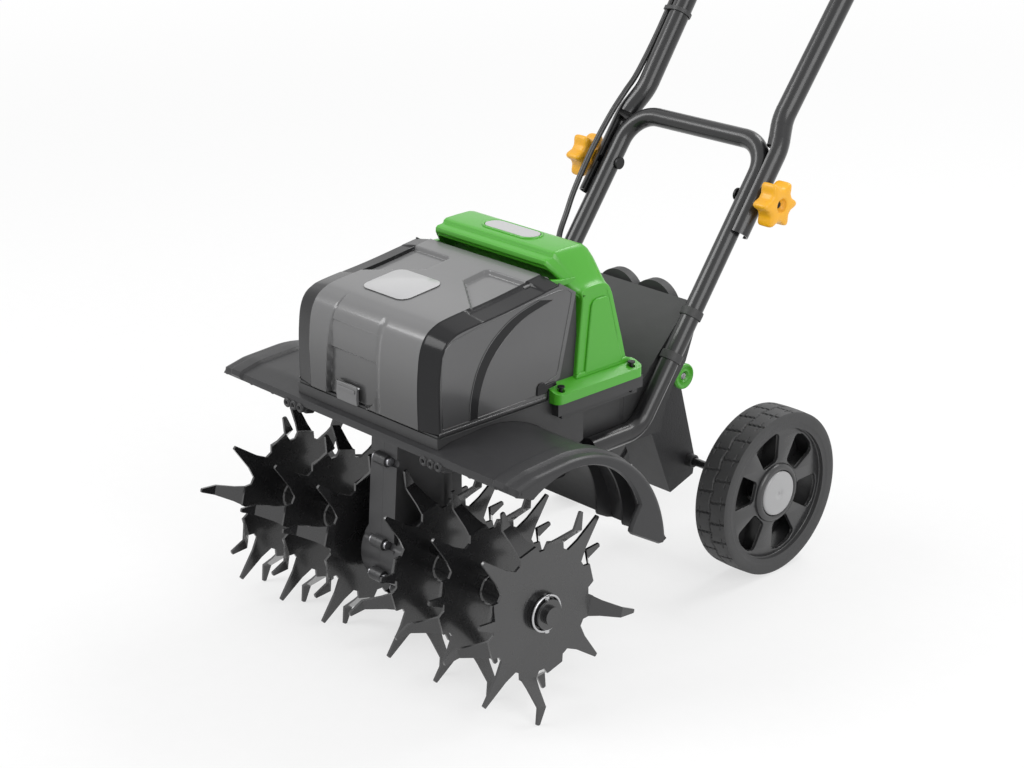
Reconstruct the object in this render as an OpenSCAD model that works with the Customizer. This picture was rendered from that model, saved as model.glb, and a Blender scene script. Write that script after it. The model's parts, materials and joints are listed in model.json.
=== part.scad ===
// Battery garden tiller: six star tines on a worm-driven shaft, arched deck,
// hinged battery lid, transport wheels on a swinging leg and a folding handle.

/* [Tines] */
// Tip radius of a tine star
tine_r = 115; // [100:1:122]
// Radius of the valleys between the points of a star
valley_r = 68; // [60:1:74]
// Sheet thickness of a tine star
tine_t = 3; // [2:0.5:4]
// Sideways set of the bent points
tip_set = 26; // [16:1:28]
// Distance of the first star from the centre plane
first_star_x = 55; // [52:1:62]
// Distance from star to star
star_pitch = 74; // [68:1:76]

/* [Tine shaft] */
// Radius of the tine shaft
shaft_r = 10; // [8:0.5:12]
// Outer radius of the hub sleeves that carry the stars
sleeve_r = 16.5; // [15:0.5:19]
// Length of sleeve beyond the outer star
sleeve_nose = 13; // [12:1:16]

/* [Gear case] */
// Tip radius of the worm wheel
worm_wheel_r = 28; // [24:1:30]
// Outer radius of the worm
worm_r = 9; // [8:0.5:11]
// Teeth of the worm wheel
worm_teeth = 30; // [20:1:40]
// Half width of the gear case at the shaft
case_half_w = 31; // [30:1:33]
// Wall of the gear case
case_wall = 6; // [4:0.5:8]
// Radius of the motor can
motor_r = 43; // [38:1:46]
// Height of the motor can
motor_h = 74; // [60:1:76]

/* [Deck] */
// Half width of the deck over the tines
deck_half_w = 237; // [232:1:260]
// Radius of the deck's arch
deck_arch_r = 142; // [140:1:150]
// Wall of the deck
deck_wall = 3; // [2:0.5:4]
// Width of the flange that closes each end of the deck
end_flange = 4; // [3:0.5:6]

/* [Body] */
// Half width of the lid and the housing under it
lid_half_w = 113; // [108:1:118]
// Wall of the lid
lid_wall = 2.5; // [2:0.5:3.5]
// Wall of the housings
housing_wall = 3.5; // [2.5:0.5:4.5]
// Width of one battery pack
pack_w = 76; // [68:1:78]
// Length of one battery pack
pack_l = 118; // [100:1:122]
// Height of one battery pack
pack_h = 58; // [50:1:60]

/* [Wheels] */
// Radius of a transport wheel
wheel_r = 100; // [85:1:110]
// Width of a transport wheel
wheel_w = 46; // [36:1:52]
// Outer face of each wheel from the centre plane
wheel_outer_x = 171; // [165:1:190]
// Distance of the wheel axle behind the tine shaft
wheel_y = 423; // [415:1:430]
// Radius of the wheel axle
axle_r = 5; // [4:0.5:6]
// Spokes of a wheel
spokes = 6; // [5:1:8]

/* [Handle] */
// Slope of the handle above level
handle_slope = 53.7; // [50:0.1:56]
// Radius of the lower handle tube
lower_tube_r = 11; // [9:0.5:11.5]
// Radius of the upper handle tube
upper_tube_r = 12.5; // [10.5:0.5:13]
// Wall of the handle tubes
tube_wall = 1.5; // [1:0.25:2]
// Distance of the lower tubes from the centre plane
lower_tube_x = 105; // [103:1:108]
// Length of the upper handle above its pivot
upper_len = 620; // [560:5:680]
// Radius of the foam grip
grip_r = 15; // [13:0.5:18]
// Diameter of the switch cable
cable_d = 7; // [5:0.5:8]
// Length of the star knobs' lobes from their axis
knob_r = 28; // [24:1:32]

/* [Fits] */
// Gap between parts that touch face to face
seat_gap = 0.1; // [0.05:0.05:0.2]
// Running clearance of a shaft in its bore
run_gap = 0.06; // [0.02:0.01:0.1]
// Gap between parts that move past each other
move_gap = 0.4; // [0.3:0.1:0.6]

/* [Hidden] */
$fn = 64;

black = [0.13, 0.13, 0.13];
steel = [0.62, 0.62, 0.64];
green = [0.28, 0.66, 0.16];
smoke = [0.38, 0.38, 0.39];
orange = [0.95, 0.66, 0.10];

// Heights above the ground: the lowest points of a star stand half a pitch off plumb
star_points = 12;
shaft_z = tine_r * cos(180 / star_points);
step_r = valley_r + 6;
last_star_x = first_star_x + 2 * star_pitch;
sleeve_in_x = case_half_w + 3;
sleeve_out_x = last_star_x + sleeve_nose;
shaft_end_x = sleeve_out_x + 5;
pin_x = sleeve_out_x - 5;

// Handle pivot, and the plan of both handle parts in the sloping handle plane
pivot_y = 418;
pivot_z = 447;
upper_x = lower_tube_x + lower_tube_r + move_gap;
bar_v = 66;
bar_bend_r = 38;
run_x = 112;
loop_bend_r = 55;
grip_half = 52;

// Middle of the machine's length, which stands over the part's origin
front_y = -tine_r * cos(180 / star_points);
rear_y = pivot_y + upper_len * cos(handle_slope) + grip_r;
mid_y = (front_y + rear_y) / 2;

// Deck arch
arch_y = 10;
arch_z = 143;
lip_y = -66;
lip_z = 276;

// Lid
lid_bottom_z = 293;
hinge_y = 114;
hinge_z = 412;
hinge_pin_r = 3;

// Battery bay
tray_floor_z = 331;
pack_y = -28;
pack_gap = 6;

// Drive: the worm stands behind the worm wheel and the motor sits on top of it
worm_y = worm_wheel_r + worm_r + 0.5;
case_top_z = 250;
motor_z = case_top_z + seat_gap;
worm_shaft_r = 6;
bearing_r = 23.5;
bearing_w = 14;
worm_bearing_r = 16;

// Leg and lock
leg_pivot_y = 352;
leg_pivot_z = 246;
leg_half_w = 28;
leg_wall = 3;
leg_head_r = 44;
leg_travel = 50;
cheek_t = 4;
cheek_x = leg_half_w + 3;
lock_y = 380;
lock_z = 226;
lock_pin_r = 4;
lock_travel = 8;
lock_r = norm([lock_y - leg_pivot_y, lock_z - leg_pivot_z]);
lock_a = atan2(lock_z - leg_pivot_z, lock_y - leg_pivot_y);
leg_pin_r = 6;
wheel_in_x = wheel_outer_x - wheel_w;

// Star knobs, lock button and bail
knob_x = 145;
button_travel = 4;
bail_v = 540;
bail_pin_r = 3;
bail_a = 38.9;
bail_reach = 79.6;
bail_x = run_x - upper_tube_r - 6;
foot_v = 272;
foot_r = 36;
foot_run = 60;

// ---- helpers -------------------------------------------------------------

// Points of an arc round (cy, cz) from angle a0 to angle a1
function arc(cy, cz, r, a0, a1, n = 12) =
    [for (i = [0:n]) let (a = a0 + (a1 - a0) * i / n) [cy + r * cos(a), cz + r * sin(a)]];

// Puts a shape drawn from the tine shaft's line into the part's own frame
module framed() {
    translate([0, -mid_y, 0]) children();
}

// Pushes an outline drawn in the side view, as (y, z), from x0 to x1
module side(x0, x1) {
    translate([x0, 0, 0]) rotate([90, 0, 90]) linear_extrude(x1 - x0) children();
}

// Round bar along x at (y, z)
module bar_x(r, x0, x1, y = 0, z = 0) {
    translate([x0, y, z]) rotate([0, 90, 0]) cylinder(r = r, h = x1 - x0);
}

// Upright bar at (x, y)
module post(r, x, y, z0, z1) {
    translate([x, y, z0]) cylinder(r = r, h = z1 - z0);
}

// Box from its low corner to its high corner
module block(lo, hi) {
    translate(lo) cube(hi - lo);
}

// Copies the right-hand side to the left
module both_sides() {
    children();
    mirror([1, 0, 0]) children();
}

// Handle plane: x across, y up the slope from the pivot, z out of its front face
module handle_plane() {
    translate([0, pivot_y, pivot_z]) rotate([handle_slope, 0, 0]) children();
}

// Round rod between two points
module rod(p, q, r) {
    d = q - p;
    translate(p) rotate([0, acos(d[2] / norm(d)), atan2(d[1], d[0])]) cylinder(r = r, h = norm(d));
}

// Rod through a list of points with ball corners
module bent_rod(points, r) {
    for (i = [0:len(points) - 2]) rod(points[i], points[i + 1], r);
    for (i = [1:len(points) - 2]) translate(points[i]) sphere(r = r);
}

// Faint ring that a bending tool leaves where a bend begins, centred on the local z axis
module bend_mark(r) {
    translate([0, 0, -0.6]) cylinder(r = r + 0.08, h = 1.2);
}

// Tube that follows points (x, v) in the handle's plan, with a round bend at each corner
module tube_run(p, bend_r, r) {
    n = len(p);
    heads = [for (i = [0:n - 2]) atan2(p[i + 1][0] - p[i][0], p[i + 1][1] - p[i][1])];
    turns = [for (i = [0:n - 1]) i == 0 || i == n - 1 ? 0 : heads[i] - heads[i - 1]];
    trims = [for (t = turns) bend_r * tan(abs(t) / 2)];
    for (i = [0:n - 2]) translate([p[i][0], p[i][1], 0]) rotate(-heads[i]) {
        translate([0, trims[i], 0]) rotate([-90, 0, 0])
            cylinder(r = r, h = norm(p[i + 1] - p[i]) - trims[i] - trims[i + 1]);
        if (i > 0) translate([0, trims[i], 0]) rotate([-90, 0, 0]) bend_mark(r);
        if (i < n - 2) translate([0, norm(p[i + 1] - p[i]) - trims[i + 1], 0]) rotate([-90, 0, 0])
            bend_mark(r);
        if (i > 0) rotate(heads[i] - heads[i - 1]) {
            s = turns[i] > 0 ? 1 : -1;
            translate([s * bend_r, -trims[i], 0]) rotate(s > 0 ? 180 - turns[i] : 0)
                rotate_extrude(angle = abs(turns[i])) translate([bend_r, 0]) circle(r = r);
        }
    }
}

// ---- deck ----------------------------------------------------------------

function arch_points(r, a0, a1) = arc(arch_y, arch_z, r, a0, a1, 16);

// Side outline under the arch, closed by the chord between its ends
module deck_outline(inset) {
    polygon(concat([[lip_y + inset, lip_z - inset], [-40, 282 - inset]],
        arch_points(deck_arch_r - inset, 92, 5), [[lip_y + inset, lip_z - 8 - inset]]));
}

// Flange or rib under the arch: thin in front and wide behind
module crescent(hole_r, tail) {
    difference() {
        deck_outline(0);
        difference() {
            translate([arch_y + 2, arch_z + 27]) circle(r = hole_r);
            polygon([[tail, 100], [tail, 178], [tail + 7, 196], [tail + 16, 206], [tail + 90, 206], [tail + 90, 100]]);
        }
        polygon([[-200, 100], [-200, 240], [-52, 262], [145, 148], [200, 100]]);
    }
}

module deck() framed() color(black) difference() {
    union() {
        side(-deck_half_w, deck_half_w) difference() {
            deck_outline(0);
            deck_outline(deck_wall);
            polygon([[-200, 50], [-200, 200], [-60, 268], [-57, 270], [155, 150], [200, 50]]);
        }
        both_sides() {
            side(deck_half_w - end_flange, deck_half_w) crescent(105, 96);
            for (x = [158, 196]) side(x, x + 2.5) crescent(116, 150);
            block([94, -63, 266], [128, -50, 278]);
        }
        side(-deck_half_w, deck_half_w) polygon([[lip_y, lip_z], [lip_y, lip_z - 8],
            [lip_y + 4, lip_z - 8], [lip_y + 8, lip_z]]);
        intersection() {
            post(motor_r + 7, 0, worm_y, case_top_z + seat_gap, 300);
            side(-60, 60) deck_outline(0);
        }
    }
    post(motor_r + move_gap, 0, worm_y, 200, 300);
    both_sides() for (x = [100, 122]) post(2.6, x, -56, 260, 272.2);
}

// ---- tines ---------------------------------------------------------------

// One blade outline pointing along +y: narrow, with hollow flanks
module blade_outline() {
    polygon([[-15.5, valley_r - 6], [-8.5, valley_r + 13], [-5, tine_r - 16], [-2.2, tine_r - 0.5],
        [0, tine_r], [2.2, tine_r - 0.5], [5, tine_r - 16], [8.5, valley_r + 13], [15.5, valley_r - 6]]);
}

// Flat root of a side-set blade, up to its bend
module blade_root() {
    polygon([[-15.5, valley_r - 6], [-11.2, step_r + 1], [11.2, step_r + 1], [15.5, valley_r - 6]]);
}

// Side-set blade: the sheet steps out by tip_set and then runs on parallel to the disc
module set_blade() {
    intersection() {
        rotate([0, -90, 0]) linear_extrude(90, center = true) blade_outline();
        linear_extrude(60, center = true) polygon([[0.6, step_r - 4], [0.6, step_r - 1],
            [tip_set, step_r + 22], [tip_set, tine_r + 1], [tip_set + tine_t, tine_r + 1],
            [tip_set + tine_t, step_r + 21], [tine_t - 1.2, step_r - 2], [tine_t - 1.2, step_r - 4]]);
    }
}

// One star: straight, outward-set and inward-set blades follow each other round the disc
module star(x) {
    translate([x - tine_t / 2, 0, shaft_z]) {
        rotate([90, 0, 90]) linear_extrude(tine_t) difference() {
            union() {
                circle(r = valley_r);
                for (a = [0:90:270]) {
                    rotate(a - 45) blade_outline();
                    rotate(a - 15) blade_root();
                    rotate(a + 15) blade_root();
                }
            }
            circle(r = sleeve_r + seat_gap / 2);
        }
        for (a = [0:90:270]) {
            rotate([a + 75, 0, 0]) set_blade();
            rotate([a + 105, 0, 0]) translate([tine_t, 0, 0]) mirror([1, 0, 0]) set_blade();
        }
    }
}

// Star number i, counted from the left end of the shaft
module tine_star(i) {
    step = i <= 3 ? 3 - i : i - 4;
    framed() color(black) mirror([i <= 3 ? 1 : 0, 0, 0]) star(first_star_x + step * star_pitch);
}

module tine_shaft() framed() color(steel) difference() {
    bar_x(shaft_r, -shaft_end_x, shaft_end_x, 0, shaft_z);
    both_sides() post(3 + seat_gap / 2, pin_x, 0, shaft_z - 30, shaft_z + 30);
}

module hub_sleeves() framed() color(black) both_sides() translate([0, 0, shaft_z]) difference() {
    union() {
        bar_x(sleeve_r, sleeve_in_x, sleeve_out_x);
        bar_x(sleeve_r + 5, last_star_x + tine_t / 2 + seat_gap, last_star_x + tine_t / 2 + 4);
    }
    bar_x(shaft_r + seat_gap / 2, 0, shaft_end_x + 1);
    post(3 + seat_gap / 2, pin_x, 0, -30, 30);
}

// Lynch pins: a pin through sleeve and shaft and a sprung ring round the nose
module retaining_pins() framed() color(steel) both_sides() translate([pin_x, 0, shaft_z]) {
    post(3, 0, 0, -sleeve_r - 5, sleeve_r + 4);
    rotate([0, 90, 0]) rotate_extrude() translate([sleeve_r + 3, 0]) circle(r = 1.5, $fn = 24);
}

// ---- drive ---------------------------------------------------------------

module case_bolt_places() {
    for (p = [[-43, shaft_z + 22], [-46, shaft_z - 16], [-16, shaft_z - 45], [26, shaft_z - 46],
            [-36, case_top_z - 22], [worm_y + 26, case_top_z - 40], [worm_y + 26, shaft_z + 10]])
        translate([0, p[0], p[1]]) children();
}

module case_outer() {
    bar_x(worm_wheel_r + 10 + case_wall, -case_half_w, case_half_w, 0, shaft_z);
    post(worm_bearing_r + case_wall, 0, worm_y, shaft_z - 36 - case_wall, case_top_z);
    side(-21, 21) polygon([[-43, shaft_z], [-33, case_top_z], [worm_y + 20, case_top_z],
        [worm_y + 20, shaft_z], [10, shaft_z - 20]]);
    post(motor_r + 3, 0, worm_y, case_top_z - 6, case_top_z);
    case_bolt_places() bar_x(7, -9, 9);
}

module case_hollow() {
    bar_x(worm_wheel_r + 2.5, -12, 12, 0, shaft_z);
    bar_x(shaft_r + 4, -case_half_w - 1, case_half_w + 1, 0, shaft_z);
    both_sides() bar_x(bearing_r + seat_gap / 2, 11, 11 + bearing_w + 2.5, 0, shaft_z);
    post(worm_bearing_r + seat_gap / 2, 0, worm_y, shaft_z - 36, case_top_z + 1);
    case_bolt_places() bar_x(2.6, -20, 20);
    both_sides() case_bolt_places() bar_x(5, 9, 40);
}

module gear_case_half() color([0.45, 0.45, 0.46]) difference() {
    case_outer();
    case_hollow();
    block([-80, -90, 0], [seat_gap / 2, 150, 300]);
}

module gear_case_right() framed() gear_case_half();
module gear_case_left() framed() difference() {
    mirror([1, 0, 0]) gear_case_half();
}

module gear_case_bolts() framed() color(steel) case_bolt_places() {
    bar_x(2.5, -9, 9);
    bar_x(4.6, 9 + seat_gap, 13);
    bar_x(2.5, 8, 10);
    bar_x(4.6, -13, -9 - seat_gap);
    bar_x(2.5, -10, -8);
}

module bearing(inner_r, outer_r, w) {
    rotate_extrude() difference() {
        translate([inner_r, 0]) square([outer_r - inner_r, w]);
        translate([(inner_r + outer_r) / 2 - 1.5, w - 1]) square([3, 2]);
        translate([(inner_r + outer_r) / 2 - 1.5, -1]) square([3, 2]);
    }
}

module ball_bearings() framed() color(steel) {
    both_sides() translate([12.5, 0, shaft_z]) rotate([0, 90, 0])
        bearing(shaft_r + run_gap, bearing_r, bearing_w);
    for (z = [shaft_z - 35.9, case_top_z - 10])
        translate([0, worm_y, z]) bearing(worm_shaft_r + run_gap, worm_bearing_r, 10);
}

module shaft_seals() framed() color(black) both_sides() translate([case_half_w - 2.5, 0, shaft_z])
    difference() {
        bar_x(shaft_r + 4 - seat_gap / 2, 0, 2.5);
        bar_x(shaft_r + run_gap, -1, 4);
    }

// Worm wheel with straight teeth whose tips run half a millimetre off the worm
module worm_wheel() framed() color([0.72, 0.56, 0.25]) translate([0, 0, shaft_z]) difference() {
    side(-9, 9) polygon([for (i = [0:worm_teeth - 1], c = [[-0.3, -3], [-0.14, 0], [0.14, 0], [0.3, -3]])
        let (a = (i + c[0]) * 360 / worm_teeth, r = worm_wheel_r + c[1]) [r * cos(a), r * sin(a)]]);
    bar_x(shaft_r + seat_gap / 2, -20, 20);
}

module worm() framed() color(steel) translate([0, worm_y, shaft_z]) difference() {
    union() {
        post(worm_r - 3, 0, 0, -20, 20);
        for (i = [-4:4]) translate([0, 0, i * 4.4]) rotate_extrude()
            polygon([[0, -1.6], [worm_r - 3.2, -1.6], [worm_r, -0.7], [worm_r, 0.7], [worm_r - 3.2, 1.6],
                [0, 1.6]]);
    }
    post(worm_shaft_r - 1 + seat_gap / 2, 0, 0, -30, 30);
}

// Motor shaft and magnet rotor in one pressed unit; the shaft thins where the worm sits
module rotor() framed() color(steel) translate([0, worm_y, 0]) {
    post(worm_shaft_r, 0, 0, shaft_z - 35, shaft_z - 20.2);
    post(worm_shaft_r - 1, 0, 0, shaft_z - 21, shaft_z + 21);
    post(worm_shaft_r, 0, 0, shaft_z + 20.2, motor_z + motor_h - 8);
    post(24, 0, 0, motor_z + 10, motor_z + motor_h - 14);
}

module motor_can() framed() color([0.3, 0.3, 0.31]) translate([0, worm_y, motor_z]) difference() {
    cylinder(r = motor_r, h = motor_h);
    translate([0, 0, 3]) cylinder(r = motor_r - 2.5, h = motor_h - 6);
    translate([0, 0, -1]) cylinder(r = worm_bearing_r, h = 6);
    for (a = [0:45:315]) rotate([0, 0, a]) translate([motor_r - 12, 0, motor_h - 4])
        cylinder(r = 4, h = 6);
}

module stator() framed() color([0.7, 0.42, 0.2]) translate([0, worm_y, motor_z + 12])
    linear_extrude(motor_h - 28) {
        difference() {
            circle(r = motor_r - 2.5 - seat_gap);
            circle(r = motor_r - 7);
        }
        for (a = [0:30:330]) rotate(a) translate([25, -3.5]) square([motor_r - 31, 7]);
    }

// ---- body ----------------------------------------------------------------

// Wide part over the deck and narrow part behind it, both as side outlines
module housing_wide(inset) {
    polygon([[-58 + inset, 300], [-58 + inset, 240], [60, 200], [152, 230], [152, 262 + inset],
        [236 - inset, 262 + inset], [236 - inset, 285.5 - inset], [100 - inset, 285.5 - inset],
        [100 - inset, 300]]);
}

module housing_narrow(inset) {
    polygon([[100, 282], [100, 150], [160 + inset, 168 + inset], [225 - inset, 192 + inset],
        [236 - inset, 205], [236 - inset, 282]]);
}

module lower_housing() framed() color(black) difference() {
    union() {
        side(-lid_half_w + 1, lid_half_w - 1) housing_wide(0);
        side(-92, 92) housing_narrow(0);
        side(-104.5, 104.5) polygon([[99.5, 280], [99.5, 388], [104, 393], [146, 393], [150, 280]]);
        both_sides() block([lid_half_w - 2, 104, 272], [lid_half_w + 9, 234, 285.9]);
    }
    side(-lid_half_w + 1 + housing_wall, lid_half_w - 1 - housing_wall) housing_wide(housing_wall);
    side(-92 + housing_wall, 92 - housing_wall) housing_narrow(housing_wall);
    side(-101, 101) polygon([[103, 270], [103, 386], [106, 389.5], [160, 389.5], [160, 296], [146, 270]]);
    block([-200, -100, 290], [200, 99, 310]);
    bar_x(deck_arch_r + move_gap, -200, 200, arch_y, arch_z);
    side(-200, 200) polygon([[-90, 200], [-90, lip_z + move_gap], [lip_y, lip_z + move_gap],
        [-40, 282 + move_gap], [arch_y, arch_z + deck_arch_r + move_gap], [arch_y, 200]]);
    both_sides() for (y = [112, 220]) post(2.1, lid_half_w + 4.5, y, 260, 300);
}

module battery_tray() framed() color([0.2, 0.2, 0.2]) difference() {
    union() {
        block([-lid_half_w + 2, -57, 290.1], [lid_half_w - 2, 96.5, 292.6]);
        block([-104, -50, 290.1], [104, 94, tray_floor_z]);
        block([-2, pack_y, tray_floor_z - 1], [2, pack_y + pack_l, tray_floor_z + 20]);
        both_sides() block([pack_gap / 2 + pack_w + 1, pack_y, tray_floor_z - 1],
            [pack_gap / 2 + pack_w + 5, pack_y + pack_l, tray_floor_z + 16]);
        block([-88, pack_y + pack_l + 2.2, tray_floor_z - 1], [88, 96, tray_floor_z + 46]);
    }
    block([-101, -47, 280], [101, 91, tray_floor_z - 3]);
}

// Slide-in pack: crowned case, front latch button and contact slots at the back
module battery_pack(x0) {
    z0 = tray_floor_z + seat_gap;
    color([0.16, 0.16, 0.16]) difference() {
        translate([x0, 0, z0]) side(0, pack_w) polygon([[pack_y, 4], [pack_y + 4, 0],
            [pack_y + pack_l, 0], [pack_y + pack_l, pack_h - 18], [pack_y + pack_l - 10, pack_h - 4],
            [pack_y + 30, pack_h], [pack_y + 8, pack_h - 3], [pack_y, pack_h - 14]]);
        for (i = [0:3]) block([x0 + 12 + i * 15, pack_y + pack_l - 12, z0 + 8],
            [x0 + 15 + i * 15, pack_y + pack_l + 1, z0 + 22]);
        block([x0 + pack_w / 2 - 14, pack_y - 1, z0 + 30], [x0 + pack_w / 2 + 14, pack_y + 3, z0 + 40]);
    }
}

module battery_pack_left() framed() battery_pack(-pack_gap / 2 - pack_w);
module battery_pack_right() framed() battery_pack(pack_gap / 2);

// Blade contacts on a block, one block behind each pack
module battery_contacts() framed() color([0.75, 0.6, 0.3]) {
    z0 = tray_floor_z + seat_gap;
    y0 = pack_y + pack_l;
    for (x0 = [-pack_gap / 2 - pack_w, pack_gap / 2]) {
        block([x0 + 8, y0 + 0.2, z0 + 5], [x0 + pack_w - 8, y0 + 2, z0 + 26]);
        for (i = [0:3]) block([x0 + 13 + i * 15, y0 - 10, z0 + 9], [x0 + 14 + i * 15, y0 + 1, z0 + 21]);
    }
}

// Saddle behind the lid: side outline of its skin
module bridge_outline(inset) {
    polygon([[143 + inset, 300], [152 + inset, 392], [150, 410], [117 + inset, 427],
        [120 + inset, 436 - inset], [140, 441 - inset], [170, 441 - inset], [186 - inset, 428 - inset / 2],
        [197 - inset, 405], [207 - inset, 370], [228 - inset, 300]]);
}

module bridge_cover() framed() color(green) difference() {
    union() {
        side(-lid_half_w + 1, lid_half_w - 1) difference() {
            bridge_outline(0);
            polygon([[110, 280], [110, 426], [130, 426], [140, 437], [167, 436], [182, 425], [193, 405],
                [203, 370], [224, 304], [224, 280]]);
        }
        both_sides() {
            side(lid_half_w - 5, lid_half_w - 1) difference() {
                bridge_outline(0);
                translate([100, 280]) square([150, 6]);
            }
            block([lid_half_w - 5, 100.5, 286], [lid_half_w + 12, 233, 302]);
            side(93.5, 100) polygon(concat(arc(hinge_y, hinge_z, 6, 90, 270),
                [[150, 406], [170, 420], [170, 437.5], [140, 437.5], [128, 418]]));
        }
    }
    both_sides() {
        bar_x(hinge_pin_r + seat_gap / 2, 90, 102, hinge_y, hinge_z);
        for (y = [112, 220]) post(2.6, lid_half_w + 4.5, y, 280, 310);
    }
}

module name_plate() framed() color([0.7, 0.7, 0.7]) translate([0, 154, 441.1]) linear_extrude(1.2) {
    square([52, 24], center = true);
    for (x = [-26, 26]) translate([x, 0]) circle(r = 12);
}

module body_screws() framed() color(steel) {
    both_sides() for (y = [112, 220]) {
        post(2, lid_half_w + 4.5, y, 268, 302.2);
        post(4.2, lid_half_w + 4.5, y, 302.1, 304);
    }
    both_sides() for (x = [100, 122]) {
        post(2.5, x, -56, 262, 272);
        post(5, x, -56, 262, 265.9);
    }
}

// ---- rear housing --------------------------------------------------------

module rear_housing() framed() color(black) difference() {
    side(-92, 92) polygon([[236.3, 282], [246, 262], [262, 258], [342, 338], [350, 330], [300.2, 262],
        [300.2, 192], [250, 192], [236.3, 205]]);
    side(-88, 88) polygon([[240, 278], [248, 257], [264, 253], [338, 327], [342, 325], [296.5, 264],
        [296.5, 196], [252, 196], [240, 208]]);
    handle_plane() translate([-72, -158, -20]) cylinder(r = cable_d / 2 + 0.8, h = 40);
}

module rear_cover() framed() color(black) difference() {
    union() {
        side(-88, 88) polygon([[350.4, 330.5], [359, 319], [357, 300], [343, 264], [321, 238], [306, 208],
            [300.6, 192], [300.6, 262]]);
        both_sides() translate([28.5, 350.4, 312]) rotate([-90, 0, 0]) cylinder(r = 33, h = 12);
    }
    side(-84.5, 84.5) polygon([[353, 324], [355, 318], [353.4, 301], [339.6, 266], [317.6, 240], [304, 215],
        [304, 258]]);
    side(-cheek_x - cheek_t - 0.4, cheek_x + cheek_t + 0.4) polygon([[290, 190], [306, 300],
        [330, 306], [400, 306], [400, 180], [300, 180]]);
}

module controller_board() framed() color([0.1, 0.35, 0.15]) {
    translate([0, 270, 236]) {
        block([-70, -24, 0], [70, 20, 1.6]);
        for (x = [-55:11:33]) block([x, -18, 1.5], [x + 5, 10, 14]);
        block([44, -15, 1.5], [64, 10, 12]);
        both_sides() block([66, -14, -39.8], [70, 18, 0.1]);
    }
}

// Clips that tie the housing's edges to the lower handle tubes
module bar_clips() framed() color(black) both_sides() handle_plane()
    for (v = [-206, -152]) translate([lower_tube_x, v, 0]) rotate([-90, 0, 0]) difference() {
        union() {
            cylinder(r = lower_tube_r + 1.8, h = 10);
            translate([92.1 - lower_tube_x, -5, 0]) cube([lower_tube_x - 92.1 - lower_tube_r + 1, 10, 10]);
        }
        translate([0, 0, -1]) cylinder(r = lower_tube_r + seat_gap / 2, h = 12);
    }

// ---- leg and wheels ------------------------------------------------------

module leg_bracket() framed() color([0.2, 0.2, 0.2]) difference() {
    union() {
        both_sides() side(cheek_x, cheek_x + cheek_t) polygon(concat([[304, 200]],
            [[304, 262], [306, 267], [322, 288]], arc(leg_pivot_y, leg_pivot_z, 47, 90, -100, 20)));
        side(-cheek_x - cheek_t, cheek_x + cheek_t) polygon([[301, 200], [305, 200], [305, 260], [301, 260]]);
        bar_x(9, cheek_x + cheek_t - 1, cheek_x + cheek_t + 8, lock_y, lock_z);
    }
    bar_x(leg_pin_r + seat_gap / 2, -60, 60, leg_pivot_y, leg_pivot_z);
    bar_x(lock_pin_r + run_gap, cheek_x - 5, cheek_x + cheek_t + 20, lock_y, lock_z);
}

module leg_pivot_pin() framed() color(steel) {
    bar_x(leg_pin_r, -cheek_x - cheek_t - 3, cheek_x + cheek_t + 3, leg_pivot_y, leg_pivot_z);
    both_sides() bar_x(leg_pin_r + 4, cheek_x + cheek_t + seat_gap, cheek_x + cheek_t + 4, leg_pivot_y,
        leg_pivot_z);
}

// Leg outline: widens from its foot at the axle up to the round head at the pivot
module leg_outline(inset) {
    polygon([[326 + inset, 222], [391 + inset, 66 + inset], [431 - inset, 79 + inset],
        [434 - inset, 98], [395 - inset, 232], [360, 262]]);
}

module wheel_leg() framed() color(black) difference() {
    union() {
        side(-leg_half_w, leg_half_w) {
            leg_outline(0);
            translate([leg_pivot_y, leg_pivot_z]) circle(r = leg_head_r);
        }
    }
    side(-leg_half_w + leg_wall, leg_half_w - leg_wall) {
        leg_outline(leg_wall);
        translate([leg_pivot_y, leg_pivot_z]) circle(r = leg_head_r + 5);
    }
    bar_x(leg_pin_r + run_gap, -60, 60, leg_pivot_y, leg_pivot_z);
    bar_x(axle_r + seat_gap / 2, -60, 60, wheel_y, wheel_r);
    translate([leg_half_w - leg_wall - 1, leg_pivot_y, leg_pivot_z]) rotate([90, 0, 90])
        linear_extrude(leg_wall + 2) polygon(concat(
            arc(0, 0, lock_r + lock_pin_r + move_gap, lock_a + 8, lock_a - leg_travel - 8, 24),
            arc(0, 0, lock_r - lock_pin_r - move_gap, lock_a - leg_travel - 8, lock_a + 8, 24)));
}

module wheel_axle() framed() color(steel)
    bar_x(axle_r, -wheel_outer_x + 4, wheel_outer_x - 4, wheel_y, wheel_r);

module axle_collars() framed() color(black) both_sides() translate([0, wheel_y, wheel_r]) difference() {
    union() {
        bar_x(axle_r + 3, leg_half_w + seat_gap, leg_half_w + 9);
        bar_x(axle_r + 3, wheel_in_x - 4, wheel_in_x - move_gap);
    }
    bar_x(axle_r + seat_gap / 2, 0, 200);
}

module lock_pin() framed() color(steel)
    bar_x(lock_pin_r, leg_half_w - leg_wall - 4, cheek_x + cheek_t + 18, lock_y, lock_z);

module lock_knob() framed() color(green) translate([0, lock_y, lock_z]) {
    x0 = cheek_x + cheek_t + 8 + move_gap;
    difference() {
        union() {
            bar_x(9, x0, x0 + 6);
            bar_x(15.5, x0 + 5, x0 + 12);
        }
        bar_x(lock_pin_r + seat_gap / 2, x0 - 1, x0 + 10.2);
        bar_x(6.5, x0 + 10.1, x0 + 13);
    }
}

module wheel_side(side_sign) {
    translate([side_sign * (wheel_outer_x - wheel_w / 2), wheel_y, wheel_r])
        rotate([0, side_sign * 90, 0]) children();
}

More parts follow.
